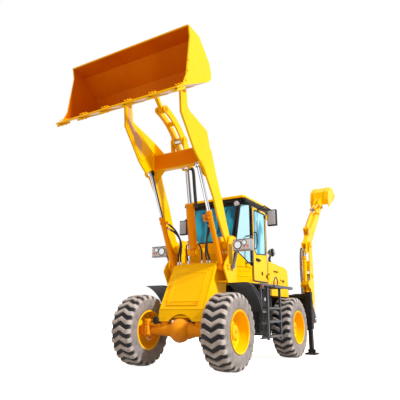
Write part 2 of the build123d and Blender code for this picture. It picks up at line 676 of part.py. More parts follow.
# ---- Z-bar: rocker pin sleeve, curved rocker, link pin sleeve and link ----
with BuildPart() as rocker_sleeve:
    with Locations(pin_at(ROCKER_PIVOT, 0)):
        Cylinder(58, 116)
        Cylinder(PIN_R + PIN_GAP, 130, mode=Mode.SUBTRACT)
rocker_sleeve.part.label = "rocker_sleeve"
export_step(rocker_sleeve.part, "parts/rocker_sleeve.step")

ROCKER_Y = 78.0
with BuildPart() as rocker:
    for y in (-ROCKER_Y, ROCKER_Y):
        with BuildSketch(side(y)):
            with BuildLine():
                Line((1286, 3380), (1422, 3640))
                Line((1422, 3640), (1560, 3775))
                ThreePointArc((1560, 3775), (1790, 4010), (2118, 4152))
                ThreePointArc((2118, 4152), (2114, 4243), (2006, 4256))
                ThreePointArc((2006, 4256), (1560, 4010), (1200, 3470))
                ThreePointArc((1200, 3470), (1210, 3368), (1286, 3380))
            make_face()
        extrude(amount=15, both=True)
    with Locations(pin_at(ROCKER_PIVOT, 0)):
        Cylinder(PIN_R + PIN_GAP, 2 * ROCKER_Y + 60, mode=Mode.SUBTRACT)
    for y in (-ROCKER_Y, ROCKER_Y):
        with Locations(pin_at(ROCKER_PIVOT, y * 1.28)):
            Cylinder(62, 22)
            Cylinder(PIN_R + PIN_GAP, 40, mode=Mode.SUBTRACT)
    with Locations(spot(1760, 0, 4060)):
        Box(60, 2 * ROCKER_Y, 60)
rocker.part.label = "rocker"
export_step(rocker.part, "parts/rocker.step")

with BuildPart() as link_sleeve:
    with Locations(pin_at(BUCKET_LUG, 0)):
        Cylinder(26, 160)
    for hand in HANDS:
        with Locations(pin_at(BUCKET_LUG, hand * 85)):
            Cylinder(58, 16)
link_sleeve.part.label = "link_sleeve"
export_step(link_sleeve.part, "parts/link_sleeve.step")

with BuildPart() as bucket_link:
    with Locations(along(ROCKER_HEAD, BUCKET_LUG, 0, 40)):
        Box(60, 60, distance(ROCKER_HEAD, BUCKET_LUG) - 80, align=FROM_START)
    for pin in (ROCKER_HEAD, BUCKET_LUG):
        with Locations(pin_at(pin, 0)):
            Cylinder(58, 84)
            Cylinder(31, 90, mode=Mode.SUBTRACT)
bucket_link.part.label = "bucket_link"
export_step(bucket_link.part, "parts/bucket_link.step")

# ---- loader bucket: bent shell, end plates, cutting edge with teeth, lugs ----
BUCKET_Y = 1155.0
HEEL = (2400, 4255)
EDGE = (3180, 3810)
SHELL_OUT = [(3262, 3763), (2480, 4195), (2405, 4270), (2395, 4370), (2450, 4520), (2745, 4810), (3040, 4835)]
SHELL_IN = [(3040, 4818), (2752, 4794), (2464, 4512), (2412, 4370), (2420, 4280), (2490, 4210), (3262, 3777)]
PLATE = [(3180, 3810), (2485, 4200), (2410, 4275), (2400, 4370), (2455, 4520), (2745, 4808), (3035, 4830),
         (3000, 4665), (3080, 4030)]
HINGE_LUG = [(2215, 4370), (2230, 4480), (2330, 4520), (2470, 4560), (2440, 4430), (2420, 4280), (2330, 4330)]
TOP_LUG = [(2432, 4480), (2385, 4580), (2395, 4645), (2440, 4664), (2600, 4668), (2612, 4660), (2462, 4512),
           (2446, 4480)]
with BuildPart() as loader_bucket:
    with BuildSketch(side(0)):
        Polygon(*SHELL_OUT + SHELL_IN, align=None)
    extrude(amount=BUCKET_Y, both=True)
    for hand in HANDS:
        with BuildSketch(side(hand * (BUCKET_Y - 10))):
            Polygon(*PLATE, align=None)
        extrude(amount=10, both=True)
        for y in (ARM_Y - 55, ARM_Y + 55):
            with BuildSketch(side(hand * y)):
                Polygon(*HINGE_LUG, align=None)
            extrude(amount=10, both=True)
        with BuildSketch(side(hand * 62)):
            Polygon(*TOP_LUG, align=None)
        extrude(amount=10, both=True)
        with Locations(pin_at(BUCKET_LUG, hand * 62)):
            Cylinder(31, 30, mode=Mode.SUBTRACT)
        with Locations(pin_at(BUCKET_HINGE, hand * ARM_Y)):
            Cylinder(PIN_R + PIN_GAP, 160, mode=Mode.SUBTRACT)
    for y in (-1100, -660, -220, 220, 660, 1100):
        with BuildSketch(side(y)):
            Polygon((3290, 3722), (3120, 3860), (3080, 3860), (3100, 3830), (3190, 3772), align=None)
        extrude(amount=38, both=True)
loader_bucket.part.label = "loader_bucket"
export_step(loader_bucket.part, "parts/loader_bucket.step")

with BuildPart() as bucket_pins:
    for hand in HANDS:
        with Locations(pin_at(BUCKET_HINGE, hand * ARM_Y)):
            Cylinder(PIN_R, 170)
        for flange in (ARM_Y - 79, ARM_Y + 79):
            with Locations(pin_at(BUCKET_HINGE, hand * flange)):
                Cylinder(80, 14)
bucket_pins.part.label = "bucket_pins"
export_step(bucket_pins.part, "parts/bucket_pins.step")

# ---- backhoe: carriage, swing post, boom, dipper, bucket, links and cylinders ----
with BuildPart() as hoe_carriage:
    with Locations(spot(-2400, HOE_Y, 895)):
        Box(26, 400, 800)
    for z in (638, 1125):
        with BuildSketch(level(z)):
            Polygon((-2410, HOE_Y - 190), (-2410, HOE_Y + 190), (-2480, HOE_Y + 130), (-2505, HOE_Y + 70),
                    (SWING_X - 40, HOE_Y + 62), (SWING_X - 40, HOE_Y - 62), (-2505, HOE_Y - 70),
                    (-2480, HOE_Y - 130), align=None)
        extrude(amount=25, both=True)
hoe_carriage.part.label = "hoe_carriage"
export_step(hoe_carriage.part, "parts/hoe_carriage.step")

with BuildPart() as swing_post:
    with Locations(spot(SWING_X, HOE_Y, 880)):
        Cylinder(58, 410)
    for hand in HANDS:
        with BuildSketch(side(HOE_Y + hand * 125)):
            Polygon((SWING_X, 800), (SWING_X, 1070), (-2704, 1082), (-2726, 1140), (-2790, 1130), (-2810, 1030), (-2990, 760),
                    (-2985, 660), (-2900, 650), align=None)
        extrude(amount=12, both=True)
    with Locations(spot(-2680, HOE_Y, 855)):
        Box(66, 250, 190)
    for pin in (BOOM_PIVOT, BOOM_RAM_FOOT):
        with Locations(pin_at(pin, HOE_Y)):
            Cylinder(PIN_R, 290)
swing_post.part.label = "swing_post"
export_step(swing_post.part, "parts/swing_post.step")

HOE_W = 190.0
BOOM_T = 22.0
BOOM_PLATE = [(-2880, 640), (-2868, 1000), (-2860, 1500), (-2862, 2000), (-2900, 2300), (-2940, 2560),
              (-3080, 2585), (-3130, 2470), (-3125, 2000), (-3105, 1300), (-2995, 700), (-2970, 640)]
with BuildPart() as hoe_boom:
    for hand in HANDS:
        with BuildSketch(side(HOE_Y + hand * (HOE_W - BOOM_T) / 2)):
            Polygon(*BOOM_PLATE, align=None)
        extrude(amount=BOOM_T / 2, both=True)
    with BuildSketch(side(HOE_Y)):
        Polygon((-3085, 1300), (-3103, 2020), (-3123, 2020), (-3103, 1300), (-2993, 700), (-2972, 706),
                align=None)
        Polygon((-2868, 1860), (-2868, 2000), (-2892, 2090), (-2912, 2090), (-2888, 1990), (-2888, 1860),
                align=None)
    extrude(amount=HOE_W / 2 - 4, both=True)
    with Locations(pin_at(DIPPER_PIVOT, HOE_Y), pin_at(BOOM_RAM_HEAD, HOE_Y)):
        Cylinder(PIN_R, HOE_W + 40)
    with Locations(pin_at(BOOM_RAM_HEAD, HOE_Y)):
        Cylinder(70, 70, mode=Mode.SUBTRACT)
    with Locations(spot(-3100, HOE_Y, 1715)):
        Box(130, 110, 300, mode=Mode.SUBTRACT)
    with Locations(pin_at(BOOM_PIVOT, HOE_Y)):
        Cylinder(66, HOE_W)
        Cylinder(PIN_R + PIN_GAP, HOE_W + 20, mode=Mode.SUBTRACT)
    for y in (-84, 84):
        with BuildSketch(side(HOE_Y + y)):
            Polygon((-2862, 1410), (-2738, 1468), (-2694, 1530), (-2722, 1584), (-2862, 1630), align=None)
        extrude(amount=11, both=True)
    with Locations(pin_at(CROWD_FOOT, HOE_Y)):
        Cylinder(PIN_R, 190)
hoe_boom.part.label = "hoe_boom"
export_step(hoe_boom.part, "parts/hoe_boom.step")


def dipper_point(u, v):
    """Side-view point u mm along the dipper from its pivot and v mm to its upper side."""
    run = distance(DIPPER_PIVOT, HOE_BUCKET_PIVOT)
    way = ((HOE_BUCKET_PIVOT[0] - DIPPER_PIVOT[0]) / run, (HOE_BUCKET_PIVOT[1] - DIPPER_PIVOT[1]) / run)
    return (DIPPER_PIVOT[0] + u * way[0] + v * way[1], DIPPER_PIVOT[1] + u * way[1] - v * way[0])


HOE_ROCKER_FOOT = dipper_point(1394, 55)
HOE_ROCKER_HEAD = dipper_point(1241, 268)
HOE_BUCKET_LUG = (HOE_BUCKET_PIVOT[0] + 255, HOE_BUCKET_PIVOT[1] + 50)
CURL_FOOT = dipper_point(300, 264)

DIPPER_W = 96.0
with BuildPart() as hoe_dipper:
    with BuildSketch(side(HOE_Y)):
        Polygon(*[dipper_point(u, v) for u, v in ((-230, 70), (-130, 150), (120, 165), (500, 150), (1300, 104),
                                                  (1430, 93), (1500, 68), (1560, 52), (1812, 50), (1850, 30),
                                                  (1860, -10), (1845, -45), (1780, -65), (1500, -85),
                                                  (300, -125), (-60, -120), (-330, -50), (-330, 30))], align=None)
    extrude(amount=DIPPER_W / 2, both=True)
    with Locations(pin_at(DIPPER_PIVOT, HOE_Y)):
        Cylinder(100, 2 * (HOE_W / 2 - BOOM_T) - 14)
    with Locations(pin_at(DIPPER_PIVOT, HOE_Y), pin_at(HOE_BUCKET_PIVOT, HOE_Y)):
        Cylinder(PIN_R + PIN_GAP, HOE_W, mode=Mode.SUBTRACT)
    with Locations(pin_at(CROWD_HEAD, HOE_Y)):
        Cylinder(165, 66, mode=Mode.SUBTRACT)
    for y in (-55, 55):
        with BuildSketch(side(HOE_Y + y)):
            Polygon(*[dipper_point(u, v) for u, v in ((180, 140), (260, 312), (340, 312), (470, 140))], align=None)
        extrude(amount=9, both=True)
    with Locations(pin_at(CURL_FOOT, HOE_Y)):
        Cylinder(PIN_R, 128)
    with Locations(pin_at(HOE_ROCKER_FOOT, HOE_Y)):
        Cylinder(PIN_R, 146)
hoe_dipper.part.label = "hoe_dipper"
export_step(hoe_dipper.part, "parts/hoe_dipper.step")

with BuildPart() as hoe_rocker:
    for y in (-62, 62):
        with BuildSketch(side(HOE_Y + y)):
            with Locations(HOE_ROCKER_FOOT, HOE_ROCKER_HEAD):
                Circle(44)
            Polygon(*[dipper_point(u, v) for u, v in ((1362, 32), (1209, 245), (1273, 291), (1426, 78))], align=None)
        extrude(amount=7, both=True)
    for y in (-50, 50):
        with Locations(pin_at(HOE_ROCKER_HEAD, HOE_Y + y)):
            Cylinder(20, 38)
    with Locations(pin_at(HOE_ROCKER_FOOT, HOE_Y)):
        Cylinder(PIN_R + PIN_GAP, 160, mode=Mode.SUBTRACT)
hoe_rocker.part.label = "hoe_rocker"
export_step(hoe_rocker.part, "parts/hoe_rocker.step")

with BuildPart() as hoe_link:
    for y in (-42, 42):
        with BuildSketch(side(HOE_Y + y)):
            with Locations(HOE_ROCKER_HEAD, HOE_BUCKET_LUG):
                Circle(42)
        extrude(amount=8, both=True)
        with Locations(along(HOE_ROCKER_HEAD, HOE_BUCKET_LUG, HOE_Y + y, 0)):
            Box(16, 50, distance(HOE_ROCKER_HEAD, HOE_BUCKET_LUG), align=FROM_START)
    with Locations(along(HOE_ROCKER_HEAD, HOE_BUCKET_LUG, HOE_Y, 110)):
        Box(84, 40, 60, align=FROM_START)
    with Locations(pin_at(HOE_ROCKER_HEAD, HOE_Y), pin_at(HOE_BUCKET_LUG, HOE_Y)):
        Cylinder(25, 120, mode=Mode.SUBTRACT)
hoe_link.part.label = "hoe_link"
export_step(hoe_link.part, "parts/hoe_link.step")

# hoe bucket in its own side view: u towards the teeth, v to the curved back
BUCKET_AIM = radians(160)


def scoop(u, v):
    """Side-view point u mm from the bucket's hinge towards the teeth and v mm to its back."""
    return (HOE_BUCKET_PIVOT[0] + u * cos(BUCKET_AIM) + v * sin(BUCKET_AIM),
            HOE_BUCKET_PIVOT[1] + u * sin(BUCKET_AIM) - v * cos(BUCKET_AIM))


SCOOP_W = 500.0
with BuildPart() as hoe_bucket:
    with BuildSketch(side(HOE_Y)):
        with BuildLine():
            Polyline(scoop(76, 50), scoop(110, 190), scoop(260, 390), scoop(520, 470), scoop(760, 400),
                     scoop(960, 190), scoop(940, 178), scoop(744, 384), scoop(520, 452), scoop(270, 376),
                     scoop(124, 184), scoop(92, 46), scoop(76, 50))
        make_face()
    extrude(amount=SCOOP_W / 2, both=True)
    for y in (-SCOOP_W / 2 + 8, SCOOP_W / 2 - 8):
        with BuildSketch(side(HOE_Y + y)):
            Polygon(scoop(64, -20), scoop(116, 188), scoop(264, 384), scoop(520, 462), scoop(752, 392),
                    scoop(950, 184), scoop(560, 60), scoop(200, -20), align=None)
        extrude(amount=8, both=True)
    for y in (-190, -64, 64, 190):
        with BuildSketch(side(HOE_Y + y)):
            Polygon(scoop(900, 250), scoop(1070, 100), scoop(940, 170), align=None)
        extrude(amount=22, both=True)
    for y in (-62, 62):
        with BuildSketch(side(HOE_Y + y)):
            Polygon(scoop(-266, 104), scoop(-262, 160), scoop(-216, 182), scoop(20, 240), scoop(120, 250),
                    scoop(128, 200), scoop(78, -20), scoop(40, -56), scoop(-36, -50), scoop(-60, -8),
                    scoop(-180, 96), scoop(-232, 90), align=None)
        extrude(amount=9, both=True)
    for y in (-48, 48):
        with Locations(pin_at(HOE_BUCKET_LUG, HOE_Y + y)):
            Cylinder(20, 34)
    with Locations(pin_at(HOE_BUCKET_PIVOT, HOE_Y)):
        Cylinder(PIN_R, 150)
hoe_bucket.part.label = "hoe_bucket"
export_step(hoe_bucket.part, "parts/hoe_bucket.step")

# name, foot pin, head pin, barrel radius, barrel length, rod radius, rod tail, eyes' width
HOE_RAMS = [("boom_ram", BOOM_RAM_FOOT, BOOM_RAM_HEAD, 48, 592, 28, 84, 66),
            ("crowd_ram", CROWD_FOOT, CROWD_HEAD, 46, 655, 28, 195, 58),
            ("curl_ram", CURL_FOOT, HOE_ROCKER_HEAD, 40, 740, 24, 202, 50)]
for name, foot, head, radius, length, rod_radius, tail, wide in HOE_RAMS:
    with BuildPart() as ram_barrel:
        add(barrel(foot, head, HOE_Y, radius, length, rod_radius, eye=(50.0, wide)))
    ram_barrel.part.label = f"{name}_barrel"
    export_step(ram_barrel.part, f"parts/{name}_barrel.step")
    with BuildPart() as ram_rod:
        add(rod(foot, head, HOE_Y, rod_radius, tail, eye=(44.0, wide)))
    ram_rod.part.label = f"{name}_rod"
    export_step(ram_rod.part, f"parts/{name}_rod.step")
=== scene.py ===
"""Backhoe loader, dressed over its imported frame: loader raised in front, hoe folded up behind.

Metres. +X is forward, +Y the machine's left, +Z up. Stations along the machine are measured from
the middle between its axles, and at() moves them to the frame's origin. Each new piece is a
surface of two parameters, or a profile carried along a path, worked out as whole arrays.
"""

import bpy
import numpy as np
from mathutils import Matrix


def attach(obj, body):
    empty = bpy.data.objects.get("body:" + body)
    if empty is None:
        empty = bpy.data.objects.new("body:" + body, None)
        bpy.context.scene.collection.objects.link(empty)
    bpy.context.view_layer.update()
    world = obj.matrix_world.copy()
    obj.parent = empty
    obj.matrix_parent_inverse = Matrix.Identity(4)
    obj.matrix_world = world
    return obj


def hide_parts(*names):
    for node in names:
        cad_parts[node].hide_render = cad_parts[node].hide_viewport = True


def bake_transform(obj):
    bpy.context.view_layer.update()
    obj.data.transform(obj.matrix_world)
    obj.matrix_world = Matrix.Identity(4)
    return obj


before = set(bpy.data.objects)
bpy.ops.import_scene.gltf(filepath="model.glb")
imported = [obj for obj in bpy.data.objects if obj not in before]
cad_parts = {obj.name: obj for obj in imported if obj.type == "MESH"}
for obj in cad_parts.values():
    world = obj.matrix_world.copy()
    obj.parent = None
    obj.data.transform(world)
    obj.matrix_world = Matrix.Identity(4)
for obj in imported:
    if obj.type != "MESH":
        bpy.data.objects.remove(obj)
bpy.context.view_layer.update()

MID_X = 1.01565
HANDS = (1, -1)
AHEAD, ACROSS, UPWARD = (1, 0, 0), (0, 1, 0), (0, 0, 1)
SIDES = (("left", 1), ("right", -1))
TYRE_R = 0.5875
AXLE_X = 1.35
WHEEL_Y = 0.85
HOE_Y = 0.78
CAMERA_PLACE = (7.6707, 4.1156, 0.8418)
CAMERA_TIP = 14.434
CAMERA_TURN = -149.087
LENS_MM = 39.98
SUN_TOWARD = (0.0, 0.80, 0.62)
SUN_STRENGTH = 3.6
SKY_COLOUR = (1.0, 0.82, 0.68, 1)
SKY_STRENGTH = 0.90
BUCKET_MIDDLE = (2.86, 0.0, 4.40)
TILT_FOOT = (1.0, 1.90)
TEETH = (-1.10, -0.66, -0.22, 0.22, 0.66, 1.10)
WHEELS = (("front_left", 1, 1), ("front_right", 1, -1), ("rear_left", -1, 1), ("rear_right", -1, -1))


def at(x, y, z):
    """A point given by its station, side and height."""
    return np.array([x + MID_X, y, z], float)


def route(*points):
    """Points given by their stations, sides and heights."""
    return np.array(points, float) + (MID_X, 0, 0)


# ---- surfaces: each returns (points, [quads or polygons]) ----
def unit(v):
    """The vector, or each of a row of vectors, brought to length 1."""
    v = np.asarray(v, float)
    return v / np.linalg.norm(v, axis=-1, keepdims=True)


def quads(rows, columns, wrap_rows=False, wrap_columns=False):
    """Faces between neighbours of a rows x columns grid of points, joined end to end where it wraps."""
    i = np.arange(rows if wrap_rows else rows - 1)[:, None]
    j = np.arange(columns if wrap_columns else columns - 1)[None, :]
    right, down = (j + 1) % columns, (i + 1) % rows
    return np.stack([i * columns + j, i * columns + right, down * columns + right, down * columns + j],
                    -1).reshape(-1, 4)


def caps(rows, columns):
    """End faces of a tube whose rings are the rows of its grid."""
    return [np.arange(columns)[::-1][None], (np.arange(columns) + (rows - 1) * columns)[None]]


def smooth_path(points, steps=10):
    """Catmull-Rom curve through the points: each run is the cubic
    (2b + (c-a)t + (2a-5b+4c-d)t^2 + (3b-a-3c+d)t^3) / 2, with t from 0 to 1."""
    p = np.asarray(points, float)
    p = np.vstack([2 * p[0] - p[1], p, 2 * p[-1] - p[-2]])
    a, b, c, d = (p[i:len(p) - 3 + i][:, None] for i in range(4))
    t = np.linspace(0, 1, steps, endpoint=False)[None, :, None]
    runs = (2 * b + (c - a) * t + (2 * a - 5 * b + 4 * c - d) * t ** 2 + (3 * b - a - 3 * c + d) * t ** 3) / 2
    return np.vstack([runs.reshape(-1, 3), p[-2]])


def frames(path):
    """Two directions across the path at each of its points, turned as little as possible on the way."""
    way = unit(np.gradient(path, axis=0))
    side = np.empty_like(way)
    side[0] = unit(np.cross(way[0], (0.31, 0.17, 0.93)))
    for i in range(1, len(way)):
        side[i] = unit(side[i - 1] - way[i] * (side[i - 1] @ way[i]))
    return side, np.cross(way, side)


def sweep(path, outline):
    """Outline (u, v) carried along the path: P(i, j) = path_i + u_j side_i + v_j up_i."""
    path, outline = np.asarray(path, float), np.asarray(outline, float)
    side, up = frames(path)
    grid = path[:, None] + (outline[None, :, :1] * side[:, None] + outline[None, :, 1:] * up[:, None])
    rows, columns = grid.shape[:2]
    return grid.reshape(-1, 3), [quads(rows, columns, wrap_columns=True), *caps(rows, columns)]


def ring(radius, sides=12):
    """Circle: (r cos a, r sin a)."""
    a = np.linspace(0, 2 * np.pi, sides, endpoint=False)
    return np.stack([radius * np.cos(a), radius * np.sin(a)], -1)


def tube(points, radius, sides=12, steps=10):
    """Round tube along the smooth curve through the points."""
    return sweep(smooth_path(points, steps), ring(radius, sides))


def lathe(profile, centre, axis, sides=48, close=False):
    """Profile (h, r) turned about an axis: P(i, j) = centre + h_i axis + r_i (cos a_j side + sin a_j up)."""
    profile, axis = np.asarray(profile, float), unit(axis)
    side = unit(np.cross(axis, (0.0, 0.0, 1.0) if abs(axis[2]) < 0.9 else (1.0, 0.0, 0.0)))
    up = np.cross(axis, side)
    a = np.linspace(0, 2 * np.pi, sides, endpoint=False)
    spokes = np.cos(a)[:, None] * side + np.sin(a)[:, None] * up
    grid = np.asarray(centre, float) + profile[:, None, :1] * axis + profile[:, None, 1:] * spokes[None]
    rows = len(profile)
    faces = [quads(rows, sides, wrap_rows=close, wrap_columns=True)]
    return grid.reshape(-1, 3), faces if close else faces + caps(rows, sides)


def block(centre, size, radius=0.01, axes=None, steps=3):
    """Rounded box: a ball of that radius whose octants are pushed out to the box's corners,
    P(u, v) = r n(u, v) + (size/2 - r) sign n."""
    half = np.asarray(size, float) / 2
    radius = min(radius, half.min() * 0.98)
    q = np.linspace(0, np.pi / 2, steps + 1)
    u = np.concatenate([q + k * np.pi / 2 for k in range(4)])
    v = np.concatenate([q - np.pi / 2, q])
    sx = np.repeat([1, -1, -1, 1], steps + 1)
    sy = np.repeat([1, 1, -1, -1], steps + 1)
    sz = np.repeat([-1, 1], steps + 1)
    ball = np.stack([np.cos(v)[:, None] * np.cos(u), np.cos(v)[:, None] * np.sin(u),
                     np.repeat(np.sin(v)[:, None], len(u), 1)], -1)
    push = np.stack([np.broadcast_to(sx, (len(v), len(u))), np.broadcast_to(sy, (len(v), len(u))),
                     np.broadcast_to(sz[:, None], (len(v), len(u)))], -1)
    grid = radius * ball + (half - radius) * push
    if axes is not None:
        grid = grid @ np.asarray(axes, float)
    rows, columns = grid.shape[:2]
    return (grid + np.asarray(centre, float)).reshape(-1, 3), [quads(rows, columns, wrap_columns=True),
                                                               *caps(rows, columns)]


def inset(outline, depth):
    """Outline drawn in by depth along the bisector of each corner."""
    ahead, behind = unit(np.roll(outline, -1, 0) - outline), unit(outline - np.roll(outline, 1, 0))
    normal = np.stack([-(ahead[:, 1] + behind[:, 1]), ahead[:, 0] + behind[:, 0]], -1)
    normal = unit(normal)
    shrink = np.clip((normal * np.stack([-ahead[:, 1], ahead[:, 0]], -1)).sum(1), 0.35, 1)
    area = (outline[:, 0] * np.roll(outline[:, 1], -1) - np.roll(outline[:, 0], -1) * outline[:, 1]).sum()
    return outline + np.sign(area) * normal * (depth / shrink)[:, None]


def plate(outline, origin, across, up, thickness, bevel=0.002):
    """Flat outline with rounded rims: rings (inset b, -t/2), (0, b - t/2), (0, t/2 - b), (inset b, t/2)."""
    outline = np.asarray(outline, float)
    across, up = unit(across), unit(up)
    normal = np.cross(across, up)
    rings = [(inset(outline, bevel), -thickness / 2), (outline, bevel - thickness / 2),
             (outline, thickness / 2 - bevel), (inset(outline, bevel), thickness / 2)]
    grid = np.stack([np.asarray(origin, float) + o[:, :1] * across + o[:, 1:] * up + h * normal
                     for o, h in rings])
    return grid.reshape(-1, 3), [quads(4, len(outline), wrap_columns=True), *caps(4, len(outline))]


def side_plate(outline, y, thickness, bevel=0.002):
    """Plate in the machine's side view, its outline in stations and heights."""
    return plate(outline, at(0, y, 0), AHEAD, UPWARD, thickness, bevel)


def bolts(places, axis, radius=0.014, height=0.012):
    """A hexagon head with a washer at each place: one turned profile, copied by adding the places."""
    head, faces = lathe([(0, radius * 1.5), (height * 0.2, radius * 1.5), (height * 0.2, radius),
                         (height * 0.85, radius), (height, radius * 0.8)], (0, 0, 0), axis, 6)
    places = np.atleast_2d(places)
    points = (places[:, None] + head[None]).reshape(-1, 3)
    shift = (np.arange(len(places)) * len(head))[:, None, None]
    return points, [(polygons[None] + shift).reshape(-1, polygons.shape[1]) for polygons in faces]


def mirrored(part):
    """The part's twin on the machine's right side, with its faces turned back outwards."""
    points, faces = part
    return points * (1, -1, 1), [polygons[:, ::-1] for polygons in faces]


def drum(centre, axis, radius, width, bevel=0.003, sides=40):
    """Short cylinder about its centre with bevelled rims."""
    return lathe([(-width / 2, radius - bevel), (bevel - width / 2, radius), (width / 2 - bevel, radius),
                  (width / 2, radius - bevel)], centre, axis, sides)


def band(centre, axis, inner, outer, width, sides=40):
    """Flat ring: a rectangle turned about the axis."""
    return lathe([(-width / 2, inner), (-width / 2, outer), (width / 2, outer), (width / 2, inner)], centre,
                 axis, sides, close=True)


def bar(a, b, wide, deep, radius=0.003, across=ACROSS):
    """Rounded bar from a to b: wide along across, deep square to both."""
    a, b = np.asarray(a, float), np.asarray(b, float)
    way = unit(b - a)
    side = unit(np.asarray(across, float) - way * (way @ np.asarray(across, float)))
    return block((a + b) / 2, (np.linalg.norm(b - a), wide, deep), radius, [way, side, np.cross(way, side)])


def sides(corners):
    """Each corner of a closed outline with the next one."""
    return zip(corners, corners[1:] + corners[:1])


def around(centre, axis, radius, count, start=0.0):
    """Places spaced evenly on a circle about an axis."""
    axis = unit(axis)
    side = unit(np.cross(axis, (0.0, 0.0, 1.0) if abs(axis[2]) < 0.9 else (1.0, 0.0, 0.0)))
    a = start + np.linspace(0, 2 * np.pi, count, endpoint=False)[:, None]
    return np.asarray(centre, float) + radius * (np.cos(a) * side + np.sin(a) * np.cross(axis, side))


def both_hands(parts):
    """The parts and their twins on the machine's right side."""
    return [*parts, *[mirrored(part) for part in parts]]


def piece(name, parts, material, body, stands_for=(), sharp=35, attribute=None):
    """Puts the parts' arrays into one mesh that rides on a body or on none. Edges past sharp are crisp."""
    mesh = bpy.data.meshes.new(name)
    points = np.concatenate([p for p, _ in parts])
    loops, sizes, start = [], [], 0
    for p, faces in parts:
        for f in faces:
            loops.append((f + start).ravel())
            sizes.append(np.full(len(f), f.shape[1]))
        start += len(p)
    loops, sizes = np.concatenate(loops), np.concatenate(sizes)
    mesh.vertices.add(len(points))
    mesh.vertices.foreach_set("co", points.astype(np.float32).ravel())
    mesh.loops.add(len(loops))
    mesh.loops.foreach_set("vertex_index", loops.astype(np.int32))
    mesh.polygons.add(len(sizes))
    mesh.polygons.foreach_set("loop_start", (np.cumsum(sizes) - sizes).astype(np.int32))
    mesh.polygons.foreach_set("use_smooth", np.ones(len(sizes), bool))
    mesh.update(calc_edges=True)
    mesh.validate()
    mesh.set_sharp_from_angle(angle=np.radians(sharp))
    if attribute is not None:
        layer = mesh.attributes.new(attribute[0], "FLOAT", "POINT")
        layer.data.foreach_set("value", np.asarray(attribute[1], np.float32))
    obj = bpy.data.objects.new(name, mesh)
    bpy.context.scene.collection.objects.link(obj)
    mesh.materials.append(material)
    if body:
        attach(obj, body)
    if stands_for:
        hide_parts(*stands_for)
    return obj


# ---- camera, floor and light ----
def set_camera():
    """A 40 mm lens low in front of the machine's left corner, tipped up a little."""
    data = bpy.data.cameras.new("camera")
    data.lens, data.sensor_width = LENS_MM, 36.0
    data.clip_end = 200
    camera = bpy.data.objects.new("camera", data)
    camera.location = at(*CAMERA_PLACE)
    camera.rotation_euler = (np.radians(90 + CAMERA_TIP), 0, np.radians(CAMERA_TURN - 90))
    bpy.context.scene.collection.objects.link(camera)
    bpy.context.scene.camera = camera


def feed(tree, socket, value):
    """Links the socket to the value where that is a node's output, and sets it otherwise."""
    if isinstance(value, bpy.types.NodeSocket):
        tree.links.new(value, socket)
    else:
        socket.default_value = value


def add_node(tree, kind, **values):
    """A node with its inputs fed: i0 is the first input, and Base_Color the one of that name."""
    node = tree.nodes.new(kind)
    for key, value in values.items():
        numbered = key[0] == "i" and key[1:].isdigit()
        feed(tree, node.inputs[int(key[1:]) if numbered else key.replace("_", " ")], value)
    return node


def maths(tree, operation, *values, clamp=False):
    """One step of arithmetic on values or sockets."""
    node = tree.nodes.new("ShaderNodeMath")
    node.operation, node.use_clamp = operation, clamp
    for socket, value in zip(node.inputs, values):
        feed(tree, socket, value)
    return node.outputs[0]


def mix_colour(tree, amount, a, b):
    """Colour a where the amount is 0 and colour b where it is 1."""
    node = tree.nodes.new("ShaderNodeMix")
    node.data_type = "RGBA"
    for socket, value in zip((node.inputs[0], node.inputs[6], node.inputs[7]), (amount, a, b)):
        feed(tree, socket, value)
    return node.outputs[2]


def remap(tree, value, low, high, to_low=0.0, to_high=1.0):
    """The value eased from its range low to high over to the range to_low to to_high."""
    node = tree.nodes.new("ShaderNodeMapRange")
    node.interpolation_type = "SMOOTHSTEP"
    for socket, number in zip(node.inputs, (value, low, high, to_low, to_high)):
        feed(tree, socket, number)
    return node.outputs[0]


